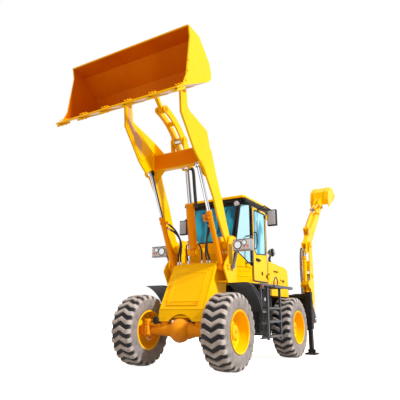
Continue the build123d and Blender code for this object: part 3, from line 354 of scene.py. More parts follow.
def set_stage():
    """Pale floor that keeps a soft shadow, a white backdrop for the eye and for reflections, sun and sky."""
    scene = bpy.context.scene
    scene.view_settings.view_transform = "Standard"
    world = bpy.data.worlds.new("sky")
    scene.world = world
    world.use_nodes = True
    tree = world.node_tree
    tree.nodes.clear()
    path = tree.nodes.new("ShaderNodeLightPath")
    seen = maths(tree, "MAXIMUM", path.outputs["Is Camera Ray"], path.outputs["Is Glossy Ray"])
    seen = maths(tree, "MAXIMUM", seen, path.outputs["Is Transmission Ray"])
    sky = add_node(tree, "ShaderNodeBackground", Color=SKY_COLOUR, Strength=SKY_STRENGTH)
    white = add_node(tree, "ShaderNodeBackground", Color=(1, 1, 1, 1), Strength=1.0)
    both = tree.nodes.new("ShaderNodeMixShader")
    out = tree.nodes.new("ShaderNodeOutputWorld")
    tree.links.new(seen, both.inputs[0])
    tree.links.new(sky.outputs[0], both.inputs[1])
    tree.links.new(white.outputs[0], both.inputs[2])
    tree.links.new(both.outputs[0], out.inputs[0])

    sun = bpy.data.lights.new("sun", "SUN")
    sun.energy, sun.angle, sun.color = SUN_STRENGTH, np.radians(6), (1.0, 0.98, 0.98)
    lamp = bpy.data.objects.new("sun", sun)
    toward = unit(SUN_TOWARD)
    lamp.rotation_euler = (np.arccos(toward[2]), 0, np.arctan2(toward[1], toward[0]) + np.pi / 2)
    scene.collection.objects.link(lamp)

    a = np.linspace(0, 2 * np.pi, 96, endpoint=False)
    mesh = bpy.data.meshes.new("floor")
    mesh.from_pydata(np.stack([30 * np.cos(a), 30 * np.sin(a), np.full(96, -0.001)], -1).tolist(), [],
                     [list(range(96))])
    floor = bpy.data.objects.new("floor", mesh)
    scene.collection.objects.link(floor)
    pale = bpy.data.materials.new("pale floor")
    pale.use_nodes = True
    tree = pale.node_tree
    tree.nodes.clear()
    path = tree.nodes.new("ShaderNodeLightPath")
    colour = mix_colour(tree, path.outputs["Is Camera Ray"], (0.42, 0.40, 0.38, 1), (0.93, 0.93, 0.93, 1))
    matt = add_node(tree, "ShaderNodeBsdfDiffuse", Color=colour)
    glow = add_node(tree, "ShaderNodeEmission", Color=(1, 1, 1, 1), Strength=0.86)
    seen = maths(tree, "MAXIMUM", path.outputs["Is Camera Ray"], path.outputs["Is Glossy Ray"])
    glow_seen = add_node(tree, "ShaderNodeMixShader", i0=seen, i2=glow.outputs[0])
    both = add_node(tree, "ShaderNodeAddShader", i0=matt.outputs[0], i1=glow_seen.outputs[0])
    out = add_node(tree, "ShaderNodeOutputMaterial", Surface=both.outputs[0])
    mesh.materials.append(pale)


# ---- shared shader groups ----
def new_group(name, inputs, outputs):
    """Empty node group; inputs are (name, socket type, default), outputs (name, socket type)."""
    tree = bpy.data.node_groups.new(name, "ShaderNodeTree")
    for label, kind, default in inputs:
        socket = tree.interface.new_socket(name=label, in_out="INPUT", socket_type=kind)
        if default is not None:
            socket.default_value = default
    for label, kind in outputs:
        tree.interface.new_socket(name=label, in_out="OUTPUT", socket_type=kind)
    return tree, tree.nodes.new("NodeGroupInput").outputs, tree.nodes.new("NodeGroupOutput").inputs


COLOUR, VALUE = "NodeSocketColor", "NodeSocketFloat"


def edge_wear_group():
    """Paint thinned along rims: where a rounded normal leaves the true one, broken up by noise."""
    tree, given, out = new_group("edge wear", [("Colour", COLOUR, None), ("Worn Colour", COLOUR, None),
                                               ("Width", VALUE, 0.006), ("Amount", VALUE, 0.5)],
                                 [("Colour", COLOUR), ("Mask", VALUE)])
    rounded = add_node(tree, "ShaderNodeBevel", Radius=given["Width"])
    rounded.samples = 4
    true = tree.nodes.new("ShaderNodeNewGeometry")
    dot = tree.nodes.new("ShaderNodeVectorMath")
    dot.operation = "DOT_PRODUCT"
    tree.links.new(rounded.outputs[0], dot.inputs[0])
    tree.links.new(true.outputs["Normal"], dot.inputs[1])
    rim = remap(tree, dot.outputs["Value"], 0.995, 0.86)
    where = tree.nodes.new("ShaderNodeTexCoord").outputs["Object"]
    noise = add_node(tree, "ShaderNodeTexNoise", Vector=where, Scale=14.0, Detail=5.0, Roughness=0.65)
    broken = remap(tree, noise.outputs[0], 0.42, 0.68)
    mask = maths(tree, "MULTIPLY", maths(tree, "MULTIPLY", rim, broken), given["Amount"], clamp=True)
    tree.links.new(mix_colour(tree, mask, given["Colour"], given["Worn Colour"]), out["Colour"])
    tree.links.new(mask, out["Mask"])
    return tree


def dust_group():
    """Dust that thickens towards the ground and on faces that look up, in soft patches."""
    tree, given, out = new_group("dust", [("Colour", COLOUR, None), ("Dust Colour", COLOUR, None),
                                          ("Height", VALUE, 1.2), ("Low Amount", VALUE, 0.3),
                                          ("Top Amount", VALUE, 0.15)],
                                 [("Colour", COLOUR), ("Mask", VALUE)])
    where = tree.nodes.new("ShaderNodeTexCoord").outputs["Object"]
    z = add_node(tree, "ShaderNodeSeparateXYZ", i0=where).outputs[2]
    low = maths(tree, "SUBTRACT", 1.0, maths(tree, "DIVIDE", z, given["Height"]), clamp=True)
    facing = add_node(tree, "ShaderNodeSeparateXYZ",
                      i0=tree.nodes.new("ShaderNodeTexCoord").outputs["Normal"])
    top = remap(tree, facing.outputs[2], 0.5, 1.0)
    noise = add_node(tree, "ShaderNodeTexNoise", Vector=where, Scale=5.0, Detail=7.0, Roughness=0.6)
    patch = remap(tree, noise.outputs[0], 0.34, 0.72, 0.25, 1.0)
    total = maths(tree, "ADD", maths(tree, "MULTIPLY", low, given["Low Amount"]),
                  maths(tree, "MULTIPLY", top, given["Top Amount"]))
    mask = maths(tree, "MULTIPLY", total, patch, clamp=True)
    tree.links.new(mix_colour(tree, mask, given["Colour"], given["Dust Colour"]), out["Colour"])
    tree.links.new(mask, out["Mask"])
    return tree


def grain_group():
    """Fine surface texture: two octaves of noise as a height, and the same noise as a change of gloss."""
    tree, given, out = new_group("grain",
                                 [("Scale", VALUE, 220.0), ("Gloss Low", VALUE, 0.3),
                                  ("Gloss High", VALUE, 0.45)], [("Height", VALUE), ("Roughness", VALUE)])
    where = tree.nodes.new("ShaderNodeTexCoord").outputs["Object"]
    fine = add_node(tree, "ShaderNodeTexNoise", Vector=where, Scale=given["Scale"], Detail=3.0)
    broad = add_node(tree, "ShaderNodeTexNoise", Vector=where, Scale=3.1, Detail=4.0)
    tree.links.new(fine.outputs[0], out["Height"])
    tree.links.new(remap(tree, broad.outputs[0], 0.3, 0.7, given["Gloss Low"], given["Gloss High"]),
                   out["Roughness"])
    return tree


def place_group(tree, group, **sockets):
    node = tree.nodes.new("ShaderNodeGroup")
    node.node_tree = group
    for key, value in sockets.items():
        socket = node.inputs[key.replace("_", " ")]
        if isinstance(value, bpy.types.NodeSocket):
            tree.links.new(value, socket)
        else:
            socket.default_value = value
    return node.outputs


def rgba(colour):
    return (*colour, 1.0)


def start_material(name):
    material = bpy.data.materials.new(name)
    material.use_nodes = True
    tree = material.node_tree
    return material, tree, tree.nodes["Principled BSDF"]


def finish_surface(tree, shader, colour, roughness, height=None, depth=0.0, strength=0.3):
    tree.links.new(colour, shader.inputs["Base Color"])
    if isinstance(roughness, bpy.types.NodeSocket):
        tree.links.new(roughness, shader.inputs["Roughness"])
    else:
        shader.inputs["Roughness"].default_value = roughness
    if height is not None:
        bump = add_node(tree, "ShaderNodeBump", Strength=strength, Distance=depth, Height=height)
        tree.links.new(bump.outputs[0], shader.inputs["Normal"])


WHITE = (1.0, 1.0, 1.0)


def painted(name, colour, shade, worn, gloss=(0.28, 0.42), dust=(0.2, 0.1), wear=0.5, coat=0.25, grain=180.0,
            depth=0.0004, sheen=WHITE, skirt=None, shine=0.5):
    """Sprayed paint: broad drift towards a deeper shade, worn rims, dust low down, orange-peel grain. Its
    highlights take the sheen's tint, and a skirt (height, colour) covers what lies below that height."""
    material, tree, shader = start_material(name)
    where = tree.nodes.new("ShaderNodeTexCoord").outputs["Object"]
    drift = add_node(tree, "ShaderNodeTexNoise", Vector=where, Scale=1.3, Detail=3.0)
    base = mix_colour(tree, remap(tree, drift.outputs[0], 0.35, 0.7), rgba(colour), rgba(shade))
    if skirt:
        z = add_node(tree, "ShaderNodeSeparateXYZ", i0=where).outputs[2]
        base = mix_colour(tree, maths(tree, "LESS_THAN", z, skirt[0]), base, rgba(skirt[1]))
    rims = place_group(tree, EDGE_WEAR, Colour=base, Worn_Colour=rgba(worn), Width=0.005, Amount=wear)
    dusty = place_group(tree, DUST, Colour=rims["Colour"], Dust_Colour=(0.36, 0.29, 0.22, 1), Height=1.3,
                        Low_Amount=dust[0], Top_Amount=dust[1])
    texture = place_group(tree, GRAIN, Scale=grain, Gloss_Low=gloss[0], Gloss_High=gloss[1])
    rough = maths(tree, "ADD", texture["Roughness"], maths(tree, "MULTIPLY", dusty["Mask"], 0.4), clamp=True)
    finish_surface(tree, shader, dusty["Colour"], rough, texture["Height"], depth)
    shader.inputs["Coat Weight"].default_value = coat
    shader.inputs["Coat Roughness"].default_value = 0.12
    shader.inputs["Specular Tint"].default_value = rgba(sheen)
    shader.inputs["Specular IOR Level"].default_value = shine
    return material


def rubber(name):
    """Tyre rubber: black in the grooves, dusty beige on lugs and walls, after the piece's own attribute."""
    material, tree, shader = start_material(name)
    where = tree.nodes.new("ShaderNodeTexCoord").outputs["Object"]
    lug = tree.nodes.new("ShaderNodeAttribute")
    lug.attribute_name = "dusty"
    noise = add_node(tree, "ShaderNodeTexNoise", Vector=where, Scale=9.0, Detail=8.0, Roughness=0.7)
    amount = maths(tree, "MULTIPLY", lug.outputs["Fac"], remap(tree, noise.outputs[0], 0.28, 0.62, 0.55, 1.0))
    base = mix_colour(tree, amount, (0.010, 0.010, 0.014, 1), (0.48, 0.445, 0.43, 1))
    texture = place_group(tree, GRAIN, Scale=160.0, Gloss_Low=0.75, Gloss_High=0.95)
    finish_surface(tree, shader, base, texture["Roughness"], texture["Height"], 0.0012, 0.5)
    return material


def glass(name, tint, deep, clear, corner=None):
    """Tinted pane whose tint drifts between two blues, a painted reflection of sky and trees. The cab's two
    corner panes, which lie further out than the windscreen's edges and ahead of the doors, are paler."""
    material, tree, shader = start_material(name)
    where = tree.nodes.new("ShaderNodeTexCoord").outputs["Object"]
    stretched = add_node(tree, "ShaderNodeMapping", Vector=where, Scale=(2.0, 2.0, 0.5)).outputs[0]
    noise = add_node(tree, "ShaderNodeTexNoise", Vector=stretched, Scale=2.2, Detail=4.0, Distortion=0.6)
    colour = mix_colour(tree, remap(tree, noise.outputs[0], 0.38, 0.62), rgba(tint), rgba(deep))
    if corner:
        x, y = add_node(tree, "ShaderNodeSeparateXYZ", i0=where).outputs[:2]
        plan = maths(tree, "ADD", maths(tree, "MULTIPLY", maths(tree, "ABSOLUTE", y), 330.0),
                     maths(tree, "MULTIPLY", maths(tree, "SUBTRACT", x, MID_X), 220.0))
        outside = maths(tree, "GREATER_THAN", plan, 227.0)
        ahead = maths(tree, "GREATER_THAN", x, MID_X)
        colour = mix_colour(tree, maths(tree, "MULTIPLY", outside, ahead), colour, rgba(corner))
    tree.links.new(colour, shader.inputs["Base Color"])
    shader.inputs["Roughness"].default_value = 0.04
    shader.inputs["Transmission Weight"].default_value = clear
    shader.inputs["IOR"].default_value = 1.3
    shader.inputs["Specular IOR Level"].default_value = 0.6
    return material


def lens(name):
    """Clear moulded lens with fine upright ribs."""
    material, tree, shader = start_material(name)
    where = tree.nodes.new("ShaderNodeTexCoord").outputs["Object"]
    ribs = tree.nodes.new("ShaderNodeTexWave")
    ribs.bands_direction = "Y"
    ribs.inputs["Scale"].default_value = 32.0
    tree.links.new(where, ribs.inputs["Vector"])
    colour = mix_colour(tree, ribs.outputs[1], (0.80, 0.84, 0.88, 1), (0.92, 0.94, 0.96, 1))
    finish_surface(tree, shader, colour, 0.05, ribs.outputs[1], 0.002)
    shader.inputs["Transmission Weight"].default_value = 0.25
    return material


def bucket_paint():
    """Yellow paint with painted shade, a deeper orange-brown, on the bucket's inner faces, and a pale painted
    reflection on its underside. A face is inside where its normal leans towards the middle of the bucket's
    mouth."""
    material, tree, shader = start_material("bucket paint")
    given = tree.nodes.new("ShaderNodeTexCoord")
    inward = tree.nodes.new("ShaderNodeVectorMath")
    inward.operation = "SUBTRACT"
    inward.inputs[0].default_value = at(*BUCKET_MIDDLE)
    tree.links.new(given.outputs["Object"], inward.inputs[1])
    lean = tree.nodes.new("ShaderNodeVectorMath")
    lean.operation = "DOT_PRODUCT"
    tree.links.new(inward.outputs[0], lean.inputs[0])
    tree.links.new(given.outputs["Normal"], lean.inputs[1])
    inside = remap(tree, lean.outputs["Value"], 0.02, 0.06)
    drift = add_node(tree, "ShaderNodeTexNoise", Vector=given.outputs["Object"], Scale=1.6, Detail=4.0)
    outer = mix_colour(tree, remap(tree, drift.outputs[0], 0.35, 0.7), (0.98, 0.59, 0.0, 1),
                       (0.95, 0.55, 0.0, 1))
    # Painted shade: the inner faces take a deep orange-brown.
    inner = mix_colour(tree, remap(tree, drift.outputs[0], 0.3, 0.7), (0.70, 0.18, 0.0, 1),
                       (0.62, 0.14, 0.0, 1))
    # Painted reflection: faces that look down pale towards a lavender white.
    down = add_node(tree, "ShaderNodeSeparateXYZ", i0=given.outputs["Normal"]).outputs[2]
    outer = mix_colour(tree, remap(tree, down, -0.70, -0.84), outer, (0.74, 0.66, 0.72, 1))
    rims = place_group(tree, EDGE_WEAR, Colour=mix_colour(tree, inside, outer, inner),
                       Worn_Colour=(0.85, 0.5, 0.02, 1), Width=0.006, Amount=0.6)
    texture = place_group(tree, GRAIN, Scale=180.0, Gloss_Low=0.3, Gloss_High=0.45)
    finish_surface(tree, shader, rims["Colour"], texture["Roughness"], texture["Height"], 0.0004)
    shader.inputs["Specular Tint"].default_value = rgba(GOLD)
    shader.inputs["Specular IOR Level"].default_value = 0.25
    return material


def metal(name, colour, rough, dust=0.0, metallic=1.0, reflection_streak=None):
    """Bare or plated steel with fine drawn grain. A painted reflection colour runs in streaks along the rods,
    all of which lie square to the machine's width, so the streaks change across y alone."""
    material, tree, shader = start_material(name)
    base = rgba(colour)
    if reflection_streak:
        where = tree.nodes.new("ShaderNodeTexCoord").outputs["Object"]
        drawn = add_node(tree, "ShaderNodeMapping", Vector=where, Scale=(0.5, 60.0, 0.3)).outputs[0]
        noise = add_node(tree, "ShaderNodeTexNoise", Vector=drawn, Scale=1.0, Detail=2.0)
        base = mix_colour(tree, remap(tree, noise.outputs[0], 0.44, 0.58), base, rgba(reflection_streak))
    texture = place_group(tree, GRAIN, Scale=400.0, Gloss_Low=rough * 0.8, Gloss_High=rough * 1.3)
    dusty = place_group(tree, DUST, Colour=base, Dust_Colour=(0.30, 0.25, 0.20, 1), Height=1.4,
                        Low_Amount=dust, Top_Amount=dust * 0.6)
    finish_surface(tree, shader, dusty["Colour"], texture["Roughness"], texture["Height"], 0.0002)
    shader.inputs["Metallic"].default_value = metallic
    return material


set_camera()
set_stage()
EDGE_WEAR, DUST, GRAIN = edge_wear_group(), dust_group(), grain_group()

GOLD = (1.0, 0.62, 0.06)
YELLOW = painted("yellow paint", (0.98, 0.58, 0.0), (0.96, 0.54, 0.0), (0.78, 0.30, 0.003),
                 dust=(0.06, 0.02), sheen=GOLD, coat=0.0, shine=0.25)
# Below its edge the roof is black: the dark fascia, and on the roof's underside also painted shade under the
# overhang.
ROOF = painted("roof paint", (0.98, 0.58, 0.0), (0.96, 0.54, 0.0), (0.78, 0.30, 0.003), dust=(0, 0.02),
               sheen=GOLD, coat=0.0, wear=0.1, skirt=(2.985, (0.006, 0.006, 0.010)), shine=0.3)
# Painted shade: a deeper orange for the cross box's front face, which is yellow like the arm.
SHADE_ORANGE = painted("painted shade orange", (0.84, 0.23, 0.0), (0.76, 0.19, 0.0), (0.5, 0.12, 0.003),
               dust=(0.0, 0.02), sheen=GOLD, coat=0.0)
BUCKET = bucket_paint()
AXLE_PAINT = painted("axle paint", (0.92, 0.36, 0.0), (0.80, 0.27, 0.0), (0.30, 0.10, 0.01),
                     gloss=(0.4, 0.6), dust=(0.16, 0.06), sheen=GOLD, coat=0.0)
BLACK = painted("chassis paint", (0.010, 0.010, 0.013), (0.016, 0.016, 0.019), (0.10, 0.10, 0.11),
                gloss=(0.4, 0.6), dust=(0.07, 0.03), coat=0.0, shine=0.25)
GREY = painted("step paint", (0.075, 0.082, 0.105), (0.055, 0.062, 0.08), (0.35, 0.35, 0.36),
               gloss=(0.35, 0.5), dust=(0.10, 0.06), coat=0.05)
IRON = metal("engine iron", (0.12, 0.12, 0.12), 0.6, dust=0.3, metallic=0.4)
# The dark blue streaks on the chrome rods are painted reflection.
CHROME = metal("chrome rod", (0.74, 0.77, 0.83), 0.16, reflection_streak=(0.05, 0.07, 0.13))
STEEL = metal("pin steel", (0.55, 0.54, 0.52), 0.32, dust=0.2)
PLASTIC = painted("black plastic", (0.012, 0.012, 0.014), (0.016, 0.016, 0.018), (0.05, 0.05, 0.05),
                  gloss=(0.45, 0.6), dust=(0.1, 0.03), coat=0.0, grain=300.0, shine=0.25)
SEAT = painted("seat vinyl", (0.025, 0.025, 0.027), (0.03, 0.03, 0.032), (0.05, 0.05, 0.05),
               gloss=(0.5, 0.6), coat=0.0, grain=120.0, depth=0.001)
SEAL = painted("door seal", (0.012, 0.028, 0.075), (0.010, 0.022, 0.06), (0.03, 0.05, 0.1),
               gloss=(0.5, 0.7), coat=0.0)
HOSE = painted("hose rubber", (0.004, 0.004, 0.007), (0.007, 0.007, 0.010), (0.02, 0.02, 0.03),
               gloss=(0.55, 0.7), dust=(0, 0), coat=0.0, grain=600.0)
RUBBER = rubber("tyre rubber")
CAB_GLASS = glass("cab glass", (0.02, 0.56, 0.98), (0.005, 0.15, 0.36), 0.05, corner=(0.44, 0.76, 0.90))
DOOR_GLASS = glass("door glass", (0.40, 0.84, 0.96), (0.04, 0.36, 0.55), 0.2)
LENS = lens("lamp lens")
# Painted shade: the cylinders and their fittings are yellow, and this deeper orange stands for the shade they
# lie in.
CYLINDER_SHADE = painted("cylinder shade paint", (0.92, 0.32, 0.0), (0.84, 0.27, 0.0), (0.45, 0.15, 0.01),
                 dust=(0.05, 0.02), sheen=GOLD, coat=0.0)
# Painted shade and reflection: a brownish tone for sheets on the loader arms' inner faces, which are yellow.
ARM_SHADE = painted("arm inner shade", (0.62, 0.36, 0.16), (0.55, 0.30, 0.13), (0.4, 0.2, 0.1), dust=(0.0, 0.0))
MIRROR_FACE = metal("mirror face", (0.80, 0.82, 0.85), 0.05)
SHELL = painted("mirror shell", (0.50, 0.55, 0.66), (0.40, 0.44, 0.54), (0.7, 0.7, 0.75), gloss=(0.3, 0.4),
                dust=(0, 0))
RED = painted("red lamp", (0.75, 0.01, 0.01), (0.65, 0.01, 0.01), (0.8, 0.1, 0.1), gloss=(0.1, 0.15),
              dust=(0, 0), coat=0.6)
PALE = painted("pale plate", (0.72, 0.72, 0.70), (0.66, 0.66, 0.65), (0.5, 0.5, 0.5), dust=(0.15, 0.1))
LAMP_GREY = painted("lamp housing", (0.30, 0.33, 0.40), (0.24, 0.27, 0.33), (0.5, 0.5, 0.52),
                    gloss=(0.25, 0.4), dust=(0, 0), coat=0.2)

FINISH = {"chassis_rails": BLACK, "front_tower": YELLOW, "front_cover": YELLOW, "front_axle": AXLE_PAINT,
          "rear_axle": AXLE_PAINT, "engine_block": IRON, "engine_hood": YELLOW, "cab_body": YELLOW,
          "cab_frame": PLASTIC, "cab_roof": ROOF, "cab_glass": CAB_GLASS, "driver_seat": SEAT,
          "cab_controls": PLASTIC, "side_decks": BLACK, "side_tanks": BLACK, "access_steps": GREY,
          "lamps": LAMP_GREY, "mirror_left": PLASTIC, "mirror_right": PLASTIC, "hoe_slide_frame": BLACK,
          "knuckle_left": AXLE_PAINT, "knuckle_right": AXLE_PAINT, "door_left": YELLOW,
          "door_right": YELLOW, "door_glass_left": DOOR_GLASS, "door_glass_right": DOOR_GLASS,
          "loader_arm": YELLOW, "lift_barrels": CYLINDER_SHADE, "lift_rods": CHROME, "tilt_barrel": CYLINDER_SHADE,
          "tilt_rod": CHROME, "rocker_sleeve": STEEL, "rocker": YELLOW, "link_sleeve": STEEL,
          "bucket_link": YELLOW, "bucket_pins": STEEL, "loader_bucket": BUCKET,
          "stabiliser_leg_left": BLACK, "stabiliser_leg_right": BLACK, "hoe_carriage": BLACK,
          "swing_post": BLACK, "hoe_boom": YELLOW, "hoe_dipper": YELLOW, "hoe_bucket": YELLOW,
          "hoe_rocker": YELLOW, "hoe_link": YELLOW, "boom_ram_barrel": YELLOW, "boom_ram_rod": CHROME,
          "crowd_ram_barrel": YELLOW, "crowd_ram_rod": CHROME, "curl_ram_barrel": YELLOW,
          "curl_ram_rod": CHROME}
for corner in ("front_left", "front_right", "rear_left", "rear_right"):
    FINISH["rim_" + corner] = YELLOW
    FINISH["tyre_" + corner] = RUBBER
for node, material in FINISH.items():
    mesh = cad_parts[node].data
    mesh.materials.clear()
    mesh.materials.append(material)


# ---- tyres ----
SECTION = [(-0.158, 0.319), (-0.186, 0.338), (-0.2025, 0.385), (-0.2045, 0.45), (-0.197, 0.505),
           (-0.172, 0.541), (-0.11, 0.553), (0.0, 0.557)]


def smoothstep(x, low, high):
    """Eased step from 0 at low to 1 at high: t^2 (3 - 2t)."""
    t = np.clip((x - low) / (high - low), 0, 1)
    return t * t * (3 - 2 * t)


def tyre_surface(centre, hand, lugs=24, around=26, sections=9):
    """P(a, s) = centre + y(s) across + (r(s) + lug(a, s)) (sin a, cos a). The lug is a flat-topped wave along
    the tread, set back by a chevron c(y), and it fades out down the shoulder; returns its dust value too."""
    half = smooth_path([(y, r, 0) for y, r in SECTION], sections)[:, :2]
    section = np.vstack([half, half[-2::-1] * (-1, 1)])
    y, r = section[:, 0], section[:, 1]
    angle = np.linspace(0, 2 * np.pi, lugs * around, endpoint=False)
    pitch = 2 * np.pi / lugs
    lean = np.interp(np.abs(y), [0, 0.118, 0.2045], [0.046, -0.020, -0.008]) / 0.57
    phase = (angle[:, None] * hand - lean[None, :] + pitch / 2) % pitch - pitch / 2
    reach = np.interp(np.abs(y), [0, 0.12, 0.20], [0.038, 0.036, 0.044]) / 0.57
    wave = 1 - smoothstep(np.abs(phase), reach * 0.82, reach * 1.12)
    shoulder = smoothstep(r, 0.462, 0.520)
    lug = wave * shoulder
    rise = lug * np.interp(np.abs(y), [0, 0.17, 0.21], [0.0305, 0.0300, 0.022])
    out = unit(np.stack([np.gradient(r), -np.gradient(y)], -1)) * -1
    tilt = np.clip(out, [-0.35, 0.2], [0.35, 1.0])
    yy = y + rise * tilt[:, 0] * 0.25
    rr = np.minimum(r + rise * tilt[:, 1], TYRE_R - 0.0004)
    yy = np.clip(yy, -0.205, 0.205)
    ahead, height = rr * np.sin(angle)[:, None], rr * np.cos(angle)[:, None]
    grid = np.stack([centre[0] + ahead, centre[1] + yy, centre[2] + height], -1)
    rows, columns = rr.shape
    dusty = np.maximum(lug, 0.75 * (1 - smoothstep(r, 0.500, 0.545)) * (0.75 + 0.25 * np.cos(r * 300)))
    return (grid.reshape(-1, 3), [quads(rows, columns, wrap_rows=True)]), dusty.ravel()


def bead_lining(centre):
    """Flat ring that closes the tyre between its beads, against the rim."""
    points, _ = lathe([(-0.158, 0.319), (0.158, 0.319)], centre, ACROSS, 96)
    return points, [quads(2, 96, wrap_columns=True)[:, ::-1]]


for corner, end, hand in WHEELS:
    hub = at(end * AXLE_X, hand * WHEEL_Y, TYRE_R)
    surface, dusty = tyre_surface(hub, hand)
    lining = bead_lining(hub)
    piece("tyre_tread_" + corner, [surface, lining], RUBBER, "wheel_" + corner, ("tyre_" + corner,),
          sharp=50, attribute=("dusty", np.concatenate([dusty, np.zeros(len(lining[0]))])))

# ---- wheels: studs, hub cap, lock ring and valve ----
for corner, end, hand in WHEELS:
    hub = at(end * AXLE_X, hand * WHEEL_Y, TYRE_R)
    out = np.array((0, hand, 0), float)
    piece("wheel_nuts_" + corner,
          [bolts(around(hub + 0.0225 * out, out, 0.205, 10), out, 0.017, 0.024),
           bolts(around(hub + 0.112 * out, out, 0.070, 8), out, 0.009, 0.010),
           drum(hub + 0.124 * out, out, 0.034, 0.012),
           tube([hub + 0.03 * out + (0.262, 0, 0), hub + 0.07 * out + (0.272, 0, 0),
                 hub + 0.11 * out + (0.285, 0, 0)], 0.006, 8)],
          AXLE_PAINT, "wheel_" + corner, sharp=30)
    piece("lock_ring_" + corner,
          [band(hub + 0.187 * out, out, 0.300, 0.3165, 0.006, 72),
           band(hub + 0.166 * out, out, 0.3185, 0.3260, 0.012, 72)], YELLOW, "wheel_" + corner)

# ---- front axle: seam bolts, brake callipers, hubs and brake chambers ----
BALL = at(1.41, 0, TYRE_R)
axle = [band(BALL + (0.030, 0, 0), AHEAD, 0.170, 0.190, 0.016, 64),
        bolts(around(BALL + (0.038, 0, 0), AHEAD, 0.1815, 14), AHEAD, 0.007, 0.008),
        bolts([BALL + (0.178, 0.045, -0.045)], AHEAD, 0.012, 0.014)]
for hand in HANDS:
    for x in (-0.10, 0.10):
        axle += [block(at(AXLE_X + x, hand * 0.640, 0.72), (0.10, 0.085, 0.10), 0.012),
                 bolts([at(AXLE_X + x + 0.05, hand * 0.640, 0.72 + dz) for dz in (-0.03, 0.03)], AHEAD,
                       0.009, 0.010)]
    axle += [block(at(AXLE_X + 0.115, hand * 0.635, TYRE_R), (0.08, 0.09, 0.16), 0.014),
             bolts([at(AXLE_X + 0.157, hand * 0.635, TYRE_R + dz) for dz in (-0.05, 0.0, 0.05)], AHEAD,
                   0.009, 0.010),
             bar(at(AXLE_X + 0.05, hand * 0.40, 0.67), at(AXLE_X + 0.10, hand * 0.60, 0.69), 0.03, 0.05,
                 0.006, AHEAD), band(at(AXLE_X, hand * 0.612, TYRE_R), ACROSS, 0.100, 0.126, 0.020, 48),
             bolts(around(at(AXLE_X, hand * 0.600, TYRE_R), (0, -hand, 0), 0.110, 12), (0, -hand, 0), 0.008,
                   0.009)]
piece("front_axle_trim", axle, AXLE_PAINT, "chassis", sharp=30)
piece("brake_chambers", [drum(at(end * AXLE_X + end * 0.06, hand * 0.475, 0.745), AHEAD, 0.062, 0.105, 0.016)
                         for end in (1, -1) for hand in HANDS], PLASTIC, "chassis")
piece("brake_discs", [band(at(AXLE_X, hand * 0.6705, TYRE_R), ACROSS, 0.102, 0.168, 0.006, 64)
                      for hand in HANDS], STEEL, "chassis")
REAR_BALL = at(-1.40, 0, TYRE_R)
piece("rear_axle_trim",
      [band(REAR_BALL - (0.030, 0, 0), AHEAD, 0.160, 0.180, 0.016, 64),
       bolts(around(REAR_BALL - (0.038, 0, 0), (-1, 0, 0), 0.170, 14), (-1, 0, 0), 0.007, 0.008),
       *[bolts(around(at(-AXLE_X, hand * 0.59, z), (0, 0, up), 0.038, 6), (0, 0, up), 0.007, 0.008)
         for hand in HANDS for z, up in ((0.7575, 1), (0.4175, -1))]],
      AXLE_PAINT, "chassis", sharp=30)

# ---- driveline under the chassis: gearbox, shafts with their joints ----
line = [block(at(-0.38, 0, 0.88), (0.62, 0.38, 0.36), 0.04),
        block(at(-0.78, 0, 1.02), (0.22, 0.44, 0.44), 0.05)]
for a, b in ((at(-1.22, 0, 0.60), at(-0.62, 0, 0.735)), (at(-0.12, 0, 0.735), at(1.20, 0, 0.60))):
    way = unit(b - a)
    line += [drum((a + b) / 2, way, 0.034, np.linalg.norm(b - a)), drum(a + 0.05 * way, way, 0.052, 0.045),
             drum(b - 0.05 * way, way, 0.052, 0.045),
             bolts(around(b - 0.076 * way, -way, 0.040, 6), -way, 0.007, 0.009)]
piece("driveline", line, IRON, "chassis")

# ---- nose cover: framed panel, crease, bolts; u across, v up the slope from the knee ----
KNEE, SLOPE, FACE = at(1.398, 0, 0.925), unit((-0.423, 0, 0.765)), unit((0.765, 0, 0.423))


def on_cover(u, v, lift=0.0):
    """A place on the nose cover, u across and v up it, lifted off its face."""
    return KNEE + np.array((0.0, u, 0.0)) + v * SLOPE + lift * FACE


def cover_bar(a, b, wide=0.012, proud=0.010, lift=0.0):
    """Raised bead on the cover between two (u, v) places."""
    return bar(on_cover(*a, lift), on_cover(*b, lift), wide, proud, 0.003,
               np.cross(FACE, on_cover(*b) - on_cover(*a)))


PANEL = [(-0.300, 0.075), (0.300, 0.075), (0.300, 0.700), (-0.300, 0.700)]
SHELF = 0.008
cover = [cover_bar(a, b, 0.016, 0.012, SHELF) for a, b in sides(PANEL)]
cover += [cover_bar((-0.270, 0.100), (-0.270, 0.655), 0.004, 0.004, SHELF),
          cover_bar((0.265, 0.105), (0.265, 0.670), 0.004, 0.004, SHELF),
          cover_bar((-0.265, 0.100), (0.262, 0.100), 0.004, 0.004, SHELF),
          cover_bar((-0.425, 0.430), (0.330, 0.760), 0.016, 0.012, SHELF),
          cover_bar((-0.425, 0.385), (0.330, 0.715), 0.010, 0.008, SHELF),
          cover_bar((-0.425, 0.004), (0.425, 0.004), 0.014, 0.008),
          cover_bar((-0.395, 0.830), (0.395, 0.830), 0.014, 0.010)]
for hand in HANDS:
    cover += [cover_bar((hand * 0.428, 0.01), (hand * 0.428, 0.86), 0.014, 0.012)]
cover.append(bolts([on_cover(u, v, SHELF)
                    for u, v in ((-0.235, 0.12), (0.24, 0.12), (-0.24, 0.38), (0.24, 0.40), (-0.22, 0.66),
                                 (0.24, 0.67))], FACE, 0.009, 0.007))
cover.append(bolts([at(1.429, hand * y, 0.80) for hand in HANDS for y in (0.30, 0.40)],
                   unit((0.195, 0, 0.04)), 0.009, 0.007))
piece("cover_trim", cover, YELLOW, "chassis", sharp=30)

